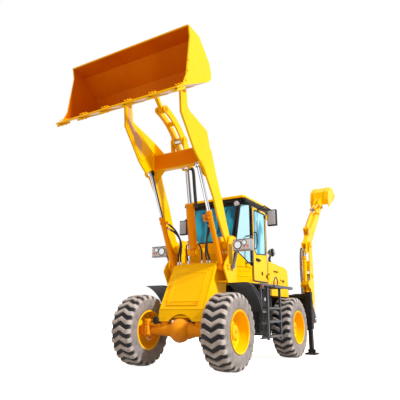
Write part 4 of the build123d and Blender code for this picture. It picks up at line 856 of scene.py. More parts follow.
# ---- tower: pin keepers, edge bars, bulkhead fittings for the hoses ----
tower = []
for x, z in ((0.68, 2.03), (0.90, 1.62)):
    tower += [drum(at(x, 0.634, z), ACROSS, 0.040, 0.020),
              plate(ring(0.055, 6), at(x, 0.629, z), AHEAD, UPWARD, 0.008),
              bar(at(x - 0.06, 0.640, z + 0.035), at(x + 0.06, 0.640, z + 0.035), 0.012, 0.026),
              bolts([at(x + dx, 0.646, z + 0.035) for dx in (-0.048, 0.048)], ACROSS, 0.009, 0.009)]
tower += [bar(at(0.70, 0.612, 2.184), at(0.83, 0.612, 2.157), 0.034, 0.010),
          bar(at(0.92, 0.612, 1.365), at(0.60, 0.612, 1.365), 0.036, 0.012)]
tower = both_hands(tower)
tower += [drum(at(TILT_FOOT[0], y, TILT_FOOT[1]), ACROSS, 0.040, 0.014) for y in (-0.084, 0.084)]
tower.append(bar(at(0.95, -0.385, 1.702), at(0.95, 0.385, 1.702), 0.05, 0.010, across=(1, 0, -0.25)))
piece("tower_trim", tower, YELLOW, "chassis", sharp=30)
FITTINGS = [(0.945, y, 1.706) for y in (-0.36, -0.30, -0.15, 0.13, 0.235, 0.295)]
piece("tower_fittings",
      [part for x, y, z in FITTINGS
       for part in (bolts([at(x, y, z)], UPWARD, 0.018, 0.018),
                    drum(at(x, y, z + 0.028), UPWARD, 0.0125, 0.030))], STEEL, "chassis", sharp=30)

# ---- loader arm: inner flanges, webs at the cross box, bosses, beads on the box ----
arm = []
UPPER = [(1.86, 3.44), (1.945, 3.475), (2.305, 3.955), (2.34, 4.34), (2.22, 4.34), (2.18, 4.06),
         (1.86, 3.80), (1.60, 3.70), (1.62, 3.62)]
arm += [side_plate(UPPER, 0.5405, 0.009),
        side_plate([(1.37, 3.56), (1.86, 3.86), (2.13, 4.075), (1.495, 3.905)], 0.553, 0.016)]
arm += [drum(at(x, 0.583, z), ACROSS, r, 0.012) for x, z, r in ((1.67, 3.26, 0.060), (2.28, 4.41, 0.072))]
arm += [drum(at(1.67, 0.592, 3.26), ACROSS, 0.034, 0.010),
        bolts(around(at(1.67, 0.589, 3.26), ACROSS, 0.048, 4, 0.8), ACROSS, 0.007, 0.007)]
arm = both_hands(arm)
arm += [bar(at(1.562, -0.50, 3.622), at(1.562, 0.50, 3.622), 0.010, 0.012, across=AHEAD),
        bar(at(1.562, -0.50, 3.338), at(1.562, 0.50, 3.338), 0.010, 0.012, across=AHEAD)]
piece("arm_trim", arm, YELLOW, "loader_arm", sharp=30)
# Thin sheets of painted shade and reflection on the arms' inner faces.
INNER = [(1.90, 3.53), (2.275, 3.99), (2.305, 4.30), (2.235, 4.30), (2.20, 4.04), (1.90, 3.80)]
piece("arm_inner_shade_plates", both_hands([side_plate(INNER, 0.5345, 0.004)]), ARM_SHADE, "loader_arm")
# A thin sheet of painted shade over the cross box's front face.
piece("cross_box_shade_sheet", [block(at(1.5615, 0, 3.48), (0.004, 1.00, 0.276), 0.0015)], SHADE_ORANGE, "loader_arm")

# ---- lift and tilt cylinders: gland rings, clamps, pipes ----
LIFT_WAY, TILT_WAY = unit((0.77, 0, 1.64)), unit((0.25, 0, 1.52))


def on_lift(s, y=0.488, out=0.0):
    """A point s metres up the left lift cylinder and out metres in front of its axis."""
    return at(0.90, y, 1.62) + s * LIFT_WAY + out * np.array((LIFT_WAY[2], 0, -LIFT_WAY[0]))


def on_tilt(s, y=0.0, out=0.0):
    """A point s metres up the tilt cylinder and out metres in front of its axis."""
    return at(TILT_FOOT[0], y, TILT_FOOT[1]) + s * TILT_WAY + out * np.array((TILT_WAY[2], 0, -TILT_WAY[0]))


lift = [band(on_lift(s), LIFT_WAY, 0.044, r, w)
        for s, r, w in ((0.952, 0.0555, 0.010), (0.900, 0.051, 0.022), (1.004, 0.0535, 0.010),
                        (0.30, 0.049, 0.020))]
lift += [bar(on_lift(0.90, 0.447), on_lift(0.90, 0.405), 0.030, 0.036, across=LIFT_WAY),
         drum(on_lift(0.90, 0.40), LIFT_WAY, 0.017, 0.05),
         bar(on_lift(0.90, 0.488, 0.05), on_lift(0.90, 0.488, 0.075), 0.03, 0.03),
         bolts([on_lift(0.90, 0.488, 0.075)], (LIFT_WAY[2], 0, -LIFT_WAY[0]), 0.009, 0.010),
         tube([on_lift(0.88, out=-0.046), on_lift(0.86, out=-0.056), on_lift(0.50, out=-0.056),
               on_lift(0.20, out=-0.056), on_lift(0.15, out=-0.048)], 0.008, 10, 6),
         bar(on_lift(0.55, out=-0.044), on_lift(0.55, out=-0.066), 0.02, 0.03)]
lift = both_hands(lift)
lift += [drum(on_lift(0.935, 0.405, 0.03), ACROSS, 0.026, 0.06),
         drum(on_lift(0.865, 0.385, 0.02), LIFT_WAY, 0.022, 0.05)]
piece("lift_barrel_trim", lift, CYLINDER_SHADE, "lift_barrels", sharp=30)
tilt = [band(on_tilt(s), TILT_WAY, 0.069, r, w)
        for s, r, w in ((0.802, 0.079, 0.010), (0.853, 0.079, 0.010), (0.16, 0.075, 0.030))]
tilt += [tube([on_tilt(0.78, -0.070), on_tilt(0.77, -0.084), on_tilt(0.50, -0.088), on_tilt(0.22, -0.088),
               on_tilt(0.17, -0.078)], 0.009, 10, 6),
         drum(on_tilt(0.16, 0.080, 0.02), TILT_WAY, 0.020, 0.06),
         drum(on_tilt(0.16, -0.080, 0.02), TILT_WAY, 0.020, 0.06),
         bolts(around(on_tilt(0.8585), TILT_WAY, 0.060, 8), TILT_WAY, 0.007, 0.008)]
piece("tilt_barrel_trim", tilt, CYLINDER_SHADE, "tilt_barrel", sharp=30)
piece("level_rod",
      [tube([on_tilt(1.50, 0.060), on_tilt(1.45, 0.118), on_tilt(1.10, 0.118), on_tilt(0.78, 0.118)], 0.029,
            16, 8)], HOSE, "tilt_rod")

# ---- rocker: pin caps ----
rock = [drum(at(1.52, y, 3.82), ACROSS, 0.050, 0.012) for y in (-0.125, 0.125)]
rock += [drum(at(1.25, y, 3.42), ACROSS, 0.038, 0.012) for y in (-0.098, 0.098)]
rock += [drum(at(2.06, y, 4.20), ACROSS, 0.040, 0.012) for y in (-0.098, 0.098)]
piece("rocker_trim", rock, AXLE_PAINT, "rocker", sharp=30)

# ---- bucket: cutting edge, tooth caps, bolts, wear strips ----
EDGE, HEEL = np.array((3.18, 3.81)), np.array((2.49, 4.21))
FLOOR_WAY = unit(EDGE - HEEL)
FLOOR_UP = np.array((-FLOOR_WAY[1], FLOOR_WAY[0]))


def on_floor(s, y, lift=0.0):
    """A point s metres back from the bucket's edge along its floor, and lift above it."""
    x, z = EDGE - s * FLOOR_WAY + lift * FLOOR_UP
    return at(x, y, z)


UP3, WAY3 = np.array((FLOOR_UP[0], 0, FLOOR_UP[1])), np.array((FLOOR_WAY[0], 0, FLOOR_WAY[1]))
bucket = [bar(on_floor(-0.035, -1.148, -0.008), on_floor(-0.035, 1.148, -0.008), 0.20, 0.022, 0.006,
              across=WAY3)]
for y in TEETH:
    bucket += [bar(on_floor(0.10, y, -0.030), on_floor(-0.135, y, -0.046), 0.078, 0.032, 0.008),
               bar(on_floor(0.07, y, 0.020), on_floor(-0.110, y, -0.004), 0.074, 0.020, 0.008)]
bucket.append(bolts([on_floor(s, y + dy, 0.030 - 0.1 * max(0, -s)) for y in TEETH for s in (0.035, -0.04)
                     for dy in (-0.022, 0.022)], UP3, 0.013, 0.014))
bucket.append(bolts([on_floor(0.0, y + dy, 0.006) for y in (-0.88, -0.44, 0.0, 0.44, 0.88)
                     for dy in (-0.11, 0.11)], UP3, 0.012, 0.010))
bucket.append(bolts([on_floor(s, y, -0.046) for y in TEETH for s in (0.03, -0.05)], -UP3, 0.013, 0.014))
for y in (-0.90, -0.45, 0.0, 0.45, 0.90):
    bucket.append(bar(on_floor(0.14, y, -0.020), on_floor(0.72, y, -0.020), 0.07, 0.012, 0.003))
for hand in HANDS:
    bucket += [bolts([at(x, hand * 1.156, z) for x, z in ((3.10, 3.93), (3.06, 4.10), (3.04, 4.27))],
                     (0, hand, 0), 0.013, 0.012)]
bucket.append(bar(at(3.035, -1.14, 4.832), at(3.035, 1.14, 4.832), 0.03, 0.012, across=AHEAD))
piece("bucket_trim", bucket, YELLOW, "loader_bucket", sharp=30)

# ---- hoses: each follows a smooth line through a few given points ----
def nurbs_line(name, points):
    """Points along an open NURBS spline with those control points."""
    curve = bpy.data.curves.new(name + "_line", "CURVE")
    curve.dimensions = "3D"
    spline = curve.splines.new("NURBS")
    spline.points.add(len(points) - 1)
    for knot, place in zip(spline.points, points):
        knot.co = (*place, 1.0)
    spline.order_u = 3
    spline.use_endpoint_u = True
    spline.resolution_u = 10
    holder = bpy.data.objects.new(name + "_line", curve)
    line = bpy.data.meshes.new_from_object(holder)
    path = np.array([v.co for v in line.vertices], float)
    for data, store in ((line, bpy.data.meshes), (curve, bpy.data.curves)):
        store.remove(data)
    return path


def hose(name, points, diameter, bodies):
    """Hydraulic hose with a crimped ferrule at each end; each ferrule rides on one of its two bodies, the
    hose on none.
    """
    path = nurbs_line(name, points)
    obj = piece(name, [sweep(path, ring(diameter / 2, 12))], HOSE, None)
    ends = {bodies[0]: [], bodies[-1]: []}
    for body, tip, way in ((bodies[0], path[0], path[2] - path[0]),
                           (bodies[-1], path[-1], path[-3] - path[-1])):
        way = unit(way)
        ends[body] += [drum(tip + 0.026 * way, way, diameter * 0.62, 0.045),
                       bolts([tip - 0.004 * way], way, diameter * 0.66, 0.016)]
    for body, parts in ends.items():
        piece(f"{name}_ferrules_{body}", parts, STEEL, body, sharp=30)
    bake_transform(obj)


# name, diameter, (x, y, z) from the tower's fitting up to the barrel, barrel's body
LOADER_HOSES = [("lift_hose_right_outer", 0.034,
                 [(0.945, -0.36, 1.712), (0.975, -0.362, 1.81), (0.915, -0.362, 1.97),
                  (0.875, -0.362, 2.13), (0.98, -0.366, 2.27), (1.13, -0.385, 2.38),
                  (1.265, -0.425, 2.435)], "lift_barrels"),
                ("lift_hose_right_inner", 0.034,
                 [(0.945, -0.30, 1.712), (0.985, -0.305, 1.80), (0.935, -0.315, 1.96), (0.91, -0.325, 2.10),
                  (1.00, -0.335, 2.22), (1.10, -0.375, 2.30), (1.225, -0.428, 2.345)], "lift_barrels"),
                ("lift_hose_left_outer", 0.038,
                 [(0.945, 0.295, 1.712), (0.985, 0.295, 1.79), (1.06, 0.29, 1.92), (1.075, 0.30, 2.08),
                  (1.07, 0.325, 2.22), (1.14, 0.375, 2.34), (1.262, 0.425, 2.415)], "lift_barrels"),
                ("lift_hose_left_inner", 0.028,
                 [(0.945, 0.235, 1.712), (0.99, 0.235, 1.80), (1.02, 0.24, 1.93), (1.02, 0.26, 2.06),
                  (1.02, 0.30, 2.18), (1.09, 0.37, 2.26), (1.215, 0.428, 2.325)], "lift_barrels"),
                ("tilt_hose_right", 0.028,
                 [(0.945, -0.15, 1.712), (0.965, -0.155, 1.80), (0.985, -0.165, 1.88), (1.02, -0.16, 1.98),
                  (1.05, -0.12, 2.035), (1.045, -0.085, 2.085)], "tilt_barrel"),
                ("tilt_hose_left", 0.028,
                 [(0.945, 0.13, 1.712), (0.975, 0.14, 1.80), (1.00, 0.16, 1.88), (1.03, 0.155, 1.98),
                  (1.05, 0.12, 2.035), (1.045, 0.085, 2.085)], "tilt_barrel")]
for name, diameter, points, barrel in LOADER_HOSES:
    hose(name, route(*points), diameter, ("chassis", barrel))

# ---- cab: seals, windscreen trim and wiper, roof lamps, seat and levers ----
# The three bars under the roof's edge are dark trim that also paints the shade under the roof's overhang.
cab_black = [bar(at(0.263, 0.655, 2.925), at(-0.95, 0.655, 2.925), 0.05, 0.028),
             bar(at(0.285, -0.60, 2.925), at(0.285, 0.60, 2.925), 0.05, 0.028, across=AHEAD),
             bar(at(-0.97, -0.60, 2.925), at(-0.97, 0.60, 2.925), 0.04, 0.028, across=AHEAD)]
SCREEN_FOOT, SCREEN_UP, SCREEN_OUT = at(0.366, 0, 2.155), unit((-0.112, 0, 0.750)), unit((0.750, 0, 0.112))


def on_screen(u, v, lift=0.008):
    """A place on the windscreen, u across and v up it."""
    return SCREEN_FOOT + (0.0, u, 0.0) + v * SCREEN_UP + lift * SCREEN_OUT


SCREEN_EDGE = [(-0.430, 0.010), (0.430, 0.010), (0.498, 0.715), (-0.498, 0.715)]
for a, b in sides(SCREEN_EDGE):
    cab_black.append(bar(on_screen(*a, 0.006), on_screen(*b, 0.006), 0.022, 0.012,
                         across=np.cross(SCREEN_OUT, on_screen(*b) - on_screen(*a))))
cab_black += [bar(on_screen(0.06, 0.03, 0.022), on_screen(0.19, 0.40, 0.022), 0.014, 0.008),
              bar(on_screen(0.10, 0.16, 0.014), on_screen(0.30, 0.66, 0.014), 0.010, 0.014),
              drum(on_screen(0.06, 0.03, 0.020), SCREEN_OUT, 0.022, 0.030)]
OUT = unit((0.220, 0.330, 0))
for hand in HANDS:
    side = (1, hand, 1)
    foot, head = at(0.352, hand * 0.475, 2.00), at(0.246, hand * 0.548, 2.90)
    cab_black += [bar(foot + OUT * side * 0.006, head + OUT * side * 0.006, 0.024, 0.012,
                      across=np.cross(UPWARD, OUT * side)),
                  bar(at(0.040, hand * 0.693, 1.72), at(0.040, hand * 0.693, 2.88), 0.024, 0.010,
                      across=AHEAD),
                  tube(route((0.345, 0.482, 2.005), (0.20, 0.585, 1.86), (0.065, 0.675, 1.725)) * side,
                       0.008, 8)]
piece("cab_seals", cab_black, PLASTIC, "chassis", sharp=30)
yellow = [bar(at(0.070, 0.6925, 1.70), at(0.376, 0.476, 1.70), 0.006, 0.02, across=OUT)]
for z in (1.62, 1.52):
    yellow.append(bar(at(0.095, 0.662, z), at(0.30, 0.526, z), 0.010, 0.012, across=OUT))
yellow += [bolts([at(0.10, 0.663, z) + 0.002 * OUT for z in (1.46, 1.66)], OUT, 0.009, 0.007)]
piece("cab_trim", both_hands(yellow), YELLOW, "chassis", sharp=30)
piece("roof_lamps",
      both_hands([drum(at(0.315, 0.52, 2.872), (1, 0, -0.2), 0.050, 0.060, 0.012),
                  bar(at(0.30, 0.52, 2.90), at(0.30, 0.52, 2.94), 0.02, 0.02)]), LAMP_GREY, "chassis")
piece("roof_lamp_lenses", both_hands([drum(at(0.347, 0.52, 2.866), (1, 0, -0.2), 0.042, 0.010)]), LENS,
      "chassis")
piece("seat_trim",
      [block(at(-0.42, 0, 1.80), (0.46, 0.44, 0.09), 0.04),
       bar(at(-0.60, 0, 1.90), at(-0.69, 0, 2.45), 0.42, 0.10, 0.04),
       block(at(-0.70, 0, 2.60), (0.09, 0.26, 0.16), 0.035),
       *[bar(at(-0.62, y, 2.02), at(-0.30, y, 2.02), 0.055, 0.04, 0.018) for y in (-0.27, 0.27)],
       *[bar(at(-0.60, y, 1.90), at(-0.60, y, 2.02), 0.03, 0.03) for y in (-0.27, 0.27)]], SEAT, "chassis")
levers = []
for y in (-0.35, -0.31, 0.31, 0.35):
    levers += [tube(route((-0.05, y, 1.78), (-0.045, y, 1.88), (-0.02, y, 1.95)), 0.006, 8),
               drum(at(-0.015, y, 1.97), (0.3, 0, 1), 0.017, 0.045, 0.012)]
levers += [block(at(0.27, 0, 1.995), (0.10, 0.24, 0.07), 0.02),
           bar(at(0.17, 0.12, 1.45), at(0.11, 0.12, 1.43), 0.09, 0.02),
           bar(at(0.17, -0.12, 1.45), at(0.11, -0.12, 1.43), 0.09, 0.02)]
piece("cab_levers", levers, PLASTIC, "chassis")

# ---- doors: dark-blue seals, handle, lock, hinges, grab loop, mirrors ----
PANE = [(-0.575, 1.985), (-0.575, 2.808), (-0.070, 2.808), (-0.040, 2.758), (-0.040, 2.010), (-0.120, 1.950)]
for name, hand in SIDES:
    side = np.array((1, hand, 1))
    corners = [at(x, hand * 0.703, z) for x, z in PANE]
    seals = [bar(a, b, 0.008, 0.022) for a, b in sides(corners)]
    rim = [at(x, hand * 0.702, z)
           for x, z in ((-0.632, 1.446), (-0.632, 2.860), (-0.024, 2.860), (0.022, 2.804), (0.022, 1.446))]
    seals += [bar(a, b, 0.006, 0.018) for a, b in sides(rim)]
    piece("door_seals_" + name, seals, SEAL, "door_" + name, sharp=30)
    hardware = [tube(route((-0.10, 0.700, 1.86), (-0.105, 0.735, 1.86), (-0.17, 0.745, 1.845),
                           (-0.235, 0.735, 1.83), (-0.24, 0.700, 1.83)) * side, 0.009, 10),
                block(at(-0.17, hand * 0.706, 1.845), (0.17, 0.012, 0.05), 0.005),
                drum(at(-0.36, hand * 0.708, 1.604), ACROSS, 0.026, 0.016),
                block(at(-0.36, hand * 0.706, 1.604), (0.05, 0.010, 0.075), 0.006)]
    for z in (1.56, 2.76):
        hardware += [block(at(-0.60, hand * 0.7085, z), (0.085, 0.010, 0.06), 0.004),
                     drum(at(-0.652, hand * 0.720, z + 0.052), UPWARD, 0.019, 0.02)]
    hardware += [tube(route((-0.03, 0.704, 2.36), (-0.028, 0.75, 2.34), (-0.028, 0.765, 2.20),
                            (-0.028, 0.75, 2.06), (-0.03, 0.704, 2.04)) * side, 0.010, 10)]
    piece("door_fittings_" + name, hardware, PLASTIC, "door_" + name, sharp=30)
    piece("mirror_glass_" + name, [block(at(-0.258, hand * 1.010, 2.640), (0.006, 0.150, 0.275), 0.002)],
          MIRROR_FACE, "door_" + name)
    piece("mirror_shell_" + name, [block(at(-0.184, hand * 1.010, 2.640), (0.014, 0.150, 0.272), 0.006)],
          SHELL, "door_" + name)
    piece("mirror_trim_" + name,
          [tube(route((-0.24, 0.72, 2.80), (-0.235, 0.80, 2.83), (-0.222, 0.95, 2.80),
                      (-0.222, 1.005, 2.775)) * side, 0.008, 8),
           block(at(-0.222, hand * 1.010, 2.64), (0.075, 0.190, 0.320), 0.03)], PLASTIC, "door_" + name)

# ---- headlights, tail lamps and deck lamps ----
lamp_frames, lamp_glass, bowls, rims, reds = [], [], [], [], []
for hand in HANDS:
    mid = at(0.858, hand * 0.865, 1.99)
    lamp_frames += [block(mid - (0.055, 0, 0), (0.125, 0.350, 0.205), 0.03),
                    bar(mid + (0.004, -0.165, 0.093), mid + (0.004, 0.165, 0.093), 0.02, 0.016,
                        across=AHEAD),
                    bar(mid + (0.004, -0.165, -0.093), mid + (0.004, 0.165, -0.093), 0.02, 0.016,
                        across=AHEAD)]
    lamp_glass.append(block(mid + (0.010, 0, 0), (0.012, 0.316, 0.164), 0.005))
    for dy, dz, r in ((-0.070, 0.0, 0.066), (0.055, 0.034, 0.040)):
        spot = mid + (0.018, hand * dy, dz)
        bowls.append(lathe([(0.000, r * 0.12), (0.001, r * 0.55), (0.004, r * 0.90), (0.004, r * 0.96)],
                           spot, AHEAD, 32))
        rims.append(band(spot + (0.001, 0, 0), AHEAD, r * 0.94, r * 1.12, 0.010, 32))
    reds += [drum(mid + (0.020, hand * dy, -0.028), AHEAD, 0.015, 0.010) for dy in (0.050, 0.115)]
    reds += [block(at(0.330, hand * 0.985, 1.325), (0.06, 0.035, 0.03), 0.006),
             block(at(-1.182, hand * 0.96, 1.345), (0.008, 0.05, 0.04), 0.003)]
piece("headlight_frames", lamp_frames, LAMP_GREY, "chassis")
piece("headlight_lenses", lamp_glass, LENS, "chassis")
piece("headlight_rims", rims, PLASTIC, "chassis")
piece("headlight_bowls", bowls, MIRROR_FACE, "chassis")
piece("red_lamps", reds, RED, "chassis")
LAMP_STALK = route((0.77, 0.76, 1.90), (0.745, 0.68, 1.88), (0.75, 0.66, 1.76), (0.76, 0.655, 1.64))
piece("tail_lamp_shells", [drum(at(-0.80, hand * 0.755, 2.056), (-0.3, hand, 0), 0.083, 0.06, 0.02)
                           for hand in HANDS] + [tube(LAMP_STALK * (1, hand, 1), 0.018, 10)
                                                 for hand in HANDS], PLASTIC, "chassis")
piece("tail_lamp_lenses",
      [drum(at(-0.812, hand * 0.790, 2.056), (-0.3, hand, 0), 0.066, 0.012) for hand in HANDS], LENS,
      "chassis")

# ---- hood: louvres, latches, panel seams, rear grille ----
hood = [bar(at(-1.53, 0.582, 1.745 - 0.010 * i), at(-1.27, 0.582, 1.745 - 0.010 * i), 0.010, 0.004)
        for i in (0, 6)]
hood += [bar(at(-1.00, 0.5815, 1.22), at(-1.00, 0.5815, 1.88), 0.004, 0.008),
         bar(at(-2.05, 0.5815, 1.30), at(-1.02, 0.5815, 1.30), 0.004, 0.008)]
for x in (-1.15, -1.30, -1.45, -1.60, -1.75):
    for i in range(4):
        hood.append(bar(at(x - 0.05, 0.582, 1.42 + 0.030 * i), at(x + 0.05, 0.582, 1.42 + 0.030 * i), 0.014,
                        0.012))
piece("hood_trim", both_hands(hood), YELLOW, "chassis", sharp=30)
piece("hood_fittings",
      both_hands([block(at(-1.80, 0.586, 1.545), (0.11, 0.016, 0.045), 0.006),
                  block(at(-0.78, 0.606, 1.605), (0.06, 0.03, 0.05), 0.01),
                  drum(at(-1.66, 0.586, 1.56), ACROSS, 0.020, 0.014),
                  block(at(-1.40, 0.560, 1.72), (0.275, 0.006, 0.026), 0.002)])
      + [bar(at(-2.122, -0.42, z), at(-2.122, 0.42, z), 0.010, 0.020, across=AHEAD)
         for z in np.arange(1.32, 1.70, 0.045)] + [drum(at(-1.75, 0.30, 1.93), UPWARD, 0.035, 0.16),
                                                   tube(route((-1.75, 0.30, 2.00), (-1.75, 0.30, 2.06),
                                                              (-1.79, 0.30, 2.11)), 0.028, 14)], PLASTIC,
      "chassis", sharp=30)

# ---- decks, steps, tanks ----
deck_black, deck_grey = [], []
for i in range(9):
    deck_black.append(bar(at(0.50 + 0.055 * i, 0.70, 1.352), at(0.50 + 0.055 * i, 0.97, 1.352), 0.010,
                          0.008, across=AHEAD))
for i in range(14):
    deck_black.append(bar(at(-1.05 + 0.11 * i, 0.72, 1.363), at(-1.05 + 0.11 * i, 0.94, 1.363), 0.012,
                          0.008, across=AHEAD))
deck_grey += [bar(at(-1.11, 1.004, 1.352), at(0.44, 1.004, 1.352), 0.012, 0.036),
              bar(at(0.40, 0.996, 1.10), at(0.42, 0.996, 1.33), 0.010, 0.028)]
arc = np.linspace(0.15, 1.35, 15)
deck_grey.append(tube([at(1.03 - 0.62 * np.sin(a), 1.016, 1.346 - 0.47 * (1 - np.cos(a))) for a in arc],
                      0.008, 8, 3))
for z in (0.46, 0.715, 0.95):
    deck_grey += [bar(at(-0.56 + 0.06 * i, 0.815, z + 0.013), at(-0.56 + 0.06 * i, 0.965, z + 0.013), 0.008,
                      0.010, across=AHEAD) for i in range(10)]
    deck_grey += [bar(at(-0.565, 0.972, z), at(0.015, 0.972, z), 0.012, 0.034)]
deck_grey += [tube(route((-0.37, 0.93, 1.36), (-0.375, 0.935, 1.46), (-0.45, 0.94, 1.53),
                         (-0.54, 0.94, 1.46), (-0.545, 0.93, 1.36)), 0.012, 10)]
deck_black += [side_plate([(-0.50, 0.55), (-0.08, 0.55), (-0.08, 1.22), (-0.50, 1.22)], 0.774, 0.012),
               drum(at(-0.12, 0.66, 1.315), UPWARD, 0.045, 0.03),
               bar(at(-0.565, 0.61, 0.72), at(-0.565, 0.61, 1.28), 0.20, 0.008),
               bar(at(-0.015, 0.61, 0.72), at(-0.015, 0.61, 1.28), 0.20, 0.008),
               bolts([at(x, 0.780, z) for x in (-0.47, -0.11) for z in (0.58, 0.88, 1.19)], ACROSS, 0.010,
                     0.009)]
piece("deck_tread", both_hands(deck_black), BLACK, "chassis", sharp=30)
piece("deck_edges", both_hands(deck_grey), GREY, "chassis", sharp=30)
piece("filler_caps", both_hands([drum(at(0.12, 0.90, 1.335), UPWARD, 0.036, 0.020),
                                 drum(at(0.12, 0.90, 1.30), UPWARD, 0.048, 0.012)]), STEEL, "chassis")
piece("side_tags",
      both_hands([block(at(-0.29, 0.783, 0.92), (0.30, 0.004, 0.10), 0.001),
                  block(at(-0.29, 0.783, 1.12), (0.12, 0.004, 0.06), 0.001)]), PALE, "chassis")

# ---- hoe: pin caps, hoses along the boom, clamps, ram rings, bucket teeth and ribs ----
def on_dipper(u, v, y=0.0):
    """A point u metres along the dipper from its pivot, v to its upper side and y across from its middle."""
    return at(DIPPER_PIVOT[0], HOE_Y + y, DIPPER_PIVOT[1]) + u * DIPPER_WAY + v * DIPPER_UP


DIPPER_PIVOT, BUCKET_PIVOT = (-3.02, 2.50), (-4.35, 3.73)
DIPPER_WAY = unit((BUCKET_PIVOT[0] - DIPPER_PIVOT[0], 0, BUCKET_PIVOT[1] - DIPPER_PIVOT[1]))
DIPPER_UP = np.array((DIPPER_WAY[2], 0, -DIPPER_WAY[0]))
boom = [drum(at(x, HOE_Y + y, z), ACROSS, r, 0.014)
        for x, z, r in ((-3.02, 2.50, 0.075), (-3.02, 1.75, 0.052)) for y in (-0.106, 0.106)]
boom += [bolts([at(-3.02, HOE_Y + hand * 0.113, 2.50 + d) for d in (-0.045, 0.045)], (0, hand, 0), 0.010,
               0.010) for hand in HANDS]
boom += [bar(at(-2.862, HOE_Y + hand * 0.084, 1.02), at(-2.858, HOE_Y + hand * 0.084, 1.38), 0.030, 0.010)
         for hand in HANDS]
boom += [bar(at(-3.110, HOE_Y, 1.34), at(-3.114, HOE_Y, 1.55), 0.15, 0.014),
         bar(at(-3.120, HOE_Y, 1.90), at(-3.124, HOE_Y, 2.10), 0.15, 0.014)]
boom += [block(at(-2.985, HOE_Y + hand * 0.099, z), (0.20, 0.008, 0.06), 0.003) for z in (1.16, 2.02)
         for hand in HANDS]
piece("boom_trim", boom, YELLOW, "hoe_boom", sharp=30)
boom_lines = []
for y in (-0.118, -0.146):
    line = route((-2.90, y, 0.86), (-2.885, y, 1.10), (-2.88, y, 1.60), (-2.885, y, 2.05), (-2.93, y, 2.30),
                 (-2.97, y * 0.92, 2.43))
    boom_lines.append(tube(line + (0, HOE_Y, 0), 0.012, 10, 8))
piece("boom_lines", boom_lines, HOSE, "hoe_boom")
piece("boom_line_clamps",
      [block(at(x, HOE_Y - 0.128, z), (0.050, 0.075, 0.026), 0.008)
       for x, z in ((-2.885, 1.10), (-2.88, 1.50), (-2.884, 1.95))], YELLOW, "hoe_boom")
piece("boom_pale_sleeve",
      [tube(route((-2.872, HOE_Y - 0.090, 1.66), (-2.868, HOE_Y - 0.092, 1.90),
                  (-2.89, HOE_Y - 0.095, 2.14), (-2.93, HOE_Y - 0.10, 2.36)), 0.017, 12)], PALE, "hoe_boom")
dipper = [drum(on_dipper(u, v, y), ACROSS, r, 0.012)
          for u, v, r, ys in ((1.812, 0, 0.046, (-0.079, 0.079)), (1.394, 0.055, 0.040, (-0.078, 0.078)),
                              (0.300, 0.264, 0.036, (-0.070, 0.070))) for y in ys]
dipper += [block(on_dipper(0.62, 0.0, y), (0.26, 0.006, 0.06), 0.002, [DIPPER_WAY, ACROSS, DIPPER_UP])
           for y in (-0.050, 0.050)]
piece("dipper_trim", dipper, YELLOW, "hoe_dipper", sharp=30)
piece("dipper_lines",
      [tube([on_dipper(0.22, -0.02, y), on_dipper(0.45, 0.02, y), on_dipper(0.75, 0.04, y),
             on_dipper(0.92, 0.05, y)], 0.010, 10, 8) for y in (-0.062, -0.086)], HOSE, "hoe_dipper")
RAM_TABLE = (  # name, foot (x, z), head (x, z), gland's middle, radius
    ("boom_ram", (-2.755, 1.040), (-3.020, 1.750), 0.592, 0.048),
    ("crowd_ram", (-2.745, 1.530), (-2.796, 2.331), 0.655, 0.046))
for name, foot, head, length, radius in RAM_TABLE:
    start, way = at(foot[0], HOE_Y, foot[1]), unit((head[0] - foot[0], 0, head[1] - foot[1]))
    piece(name + "_trim", [band(start + (length - 0.058) * way, way, radius - 0.002, radius + 0.010, 0.010),
                           band(start + (length - 0.004) * way, way, radius - 0.010, radius + 0.008, 0.012),
                           drum(start + 0.12 * way + (0, -radius - 0.004, 0), ACROSS, 0.016, 0.03),
                           drum(start + (length - 0.03) * way + (0, -radius - 0.010, 0), ACROSS, 0.014,
                                0.03), tube([start + 0.12 * way + (0, -radius - 0.022, 0),
                                             start + 0.30 * way + (0, -radius - 0.026, 0),
                                             start + (length - 0.03) * way + (0, -radius - 0.022, 0)],
                                            0.007, 8)], CYLINDER_SHADE, name + "_barrel", sharp=30)
curl_foot, curl_head = on_dipper(0.300, 0.264), on_dipper(1.241, 0.268)
way = unit(curl_head - curl_foot)
piece("curl_ram_trim", [band(curl_foot + s * way, way, 0.039, 0.050, 0.010) for s in (0.682, 0.736)]
      + [tube([curl_foot + s * way + (0, y, 0)
               for s, y in ((0.10, -0.044), (0.16, -0.052), (0.45, -0.054), (0.66, -0.052),
                            (0.71, -0.046))], 0.007, 8)], CYLINDER_SHADE, "curl_ram_barrel", sharp=30)

AIM = np.radians(160)
TOE_WAY, BACK_WAY = np.array((np.cos(AIM), 0, np.sin(AIM))), np.array((np.sin(AIM), 0, -np.cos(AIM)))


def scoop(u, v, y=0.0):
    """A point u metres from the hoe bucket's hinge towards its teeth, v to its back and y across."""
    return at(BUCKET_PIVOT[0], HOE_Y + y, BUCKET_PIVOT[1]) + u * TOE_WAY + v * BACK_WAY


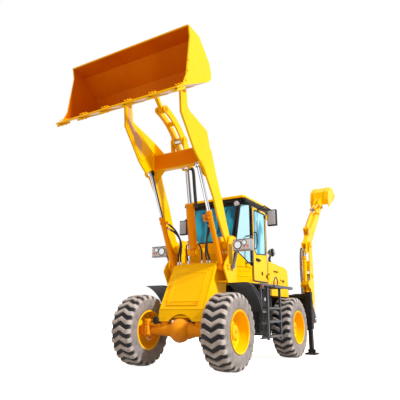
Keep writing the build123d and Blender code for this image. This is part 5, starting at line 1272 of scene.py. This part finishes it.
shell = [(0.12, 0.215), (0.27, 0.398), (0.52, 0.478), (0.75, 0.410)]
hoe_bucket = [bar(scoop(*shell[i], y), scoop(*shell[i + 1], y), 0.045, 0.014) for y in (-0.15, 0.15)
              for i in range(3)]
hoe_bucket += [bar(scoop(0.90, 0.252, y), scoop(1.055, 0.108, y), 0.052, 0.040, 0.010)
               for y in (-0.190, -0.064, 0.064, 0.190)]
hoe_bucket += [bar(scoop(0.60, 0.072, hand * 0.253), scoop(0.945, 0.182, hand * 0.253), 0.008, 0.05)
               for hand in HANDS]
hoe_bucket += [bolts([scoop(u, v, hand * 0.257) for u, v in ((0.66, 0.10), (0.78, 0.138), (0.89, 0.172))],
                     (0, hand, 0), 0.013, 0.012) for hand in HANDS]
hoe_bucket += [drum(at(BUCKET_PIVOT[0], HOE_Y + y, BUCKET_PIVOT[1]), ACROSS, 0.046, 0.012)
               for y in (-0.079, 0.079)]
piece("hoe_bucket_trim", hoe_bucket, YELLOW, "hoe_bucket", sharp=30)
piece("hoe_linkage_trim", [drum(on_dipper(1.241, 0.268, y), ACROSS, 0.036, 0.010) for y in (-0.074, 0.074)],
      AXLE_PAINT, "hoe_rocker")

# ---- hoe carriage, swing post, stabilisers and slide frame ----
carriage = [bolts([at(-2.386, HOE_Y + dy, z) for dy in (-0.17, 0.17) for z in (0.52, 0.62, 1.17, 1.27)],
                  AHEAD, 0.016, 0.016),
            bolts([at(-2.414, HOE_Y + dy, z) for dy in (-0.17, 0.17) for z in (0.52, 0.80, 1.00, 1.27)],
                  (-1, 0, 0), 0.014, 0.014), drum(at(-2.64, HOE_Y, 1.100), UPWARD, 0.050, 0.024),
            drum(at(-2.64, HOE_Y, 0.660), UPWARD, 0.050, 0.020)]
piece("carriage_trim", carriage, STEEL, "hoe_carriage", sharp=30)
post = [drum(at(x, HOE_Y + y, z), ACROSS, 0.046, 0.014) for x, z in ((-2.93, 0.72), (-2.755, 1.04))
        for y in (-0.144, 0.144)]
piece("swing_post_trim", post, STEEL, "swing_post", sharp=30)
slide_frame = [bolts([at(-2.165, hand * (0.99 + dy), z) for hand in HANDS for dy in (-0.045, 0.045)
                      for z in (0.60, 0.92, 1.24)], AHEAD, 0.013, 0.013)]
slide_frame += [bar(at(-2.27, hand * 1.052, 0.56), at(-2.27, hand * 1.052, 1.28), 0.006, 0.10)
                for hand in HANDS]
slide_frame += [block(at(-2.27, hand * 0.99, 1.315), (0.17, 0.14, 0.02), 0.006) for hand in HANDS]
piece("slide_frame_trim", slide_frame, BLACK, "chassis", sharp=30)
for name, hand in SIDES:
    piece("stabiliser_trim_" + name,
          [drum(at(-2.27, hand * 0.99, 0.082), ACROSS, 0.024, 0.17),
           bar(at(-2.38, hand * 0.99, 0.046), at(-2.16, hand * 0.99, 0.046), 0.05, 0.016)], BLACK,
          "stabiliser_leg_" + name, sharp=30)
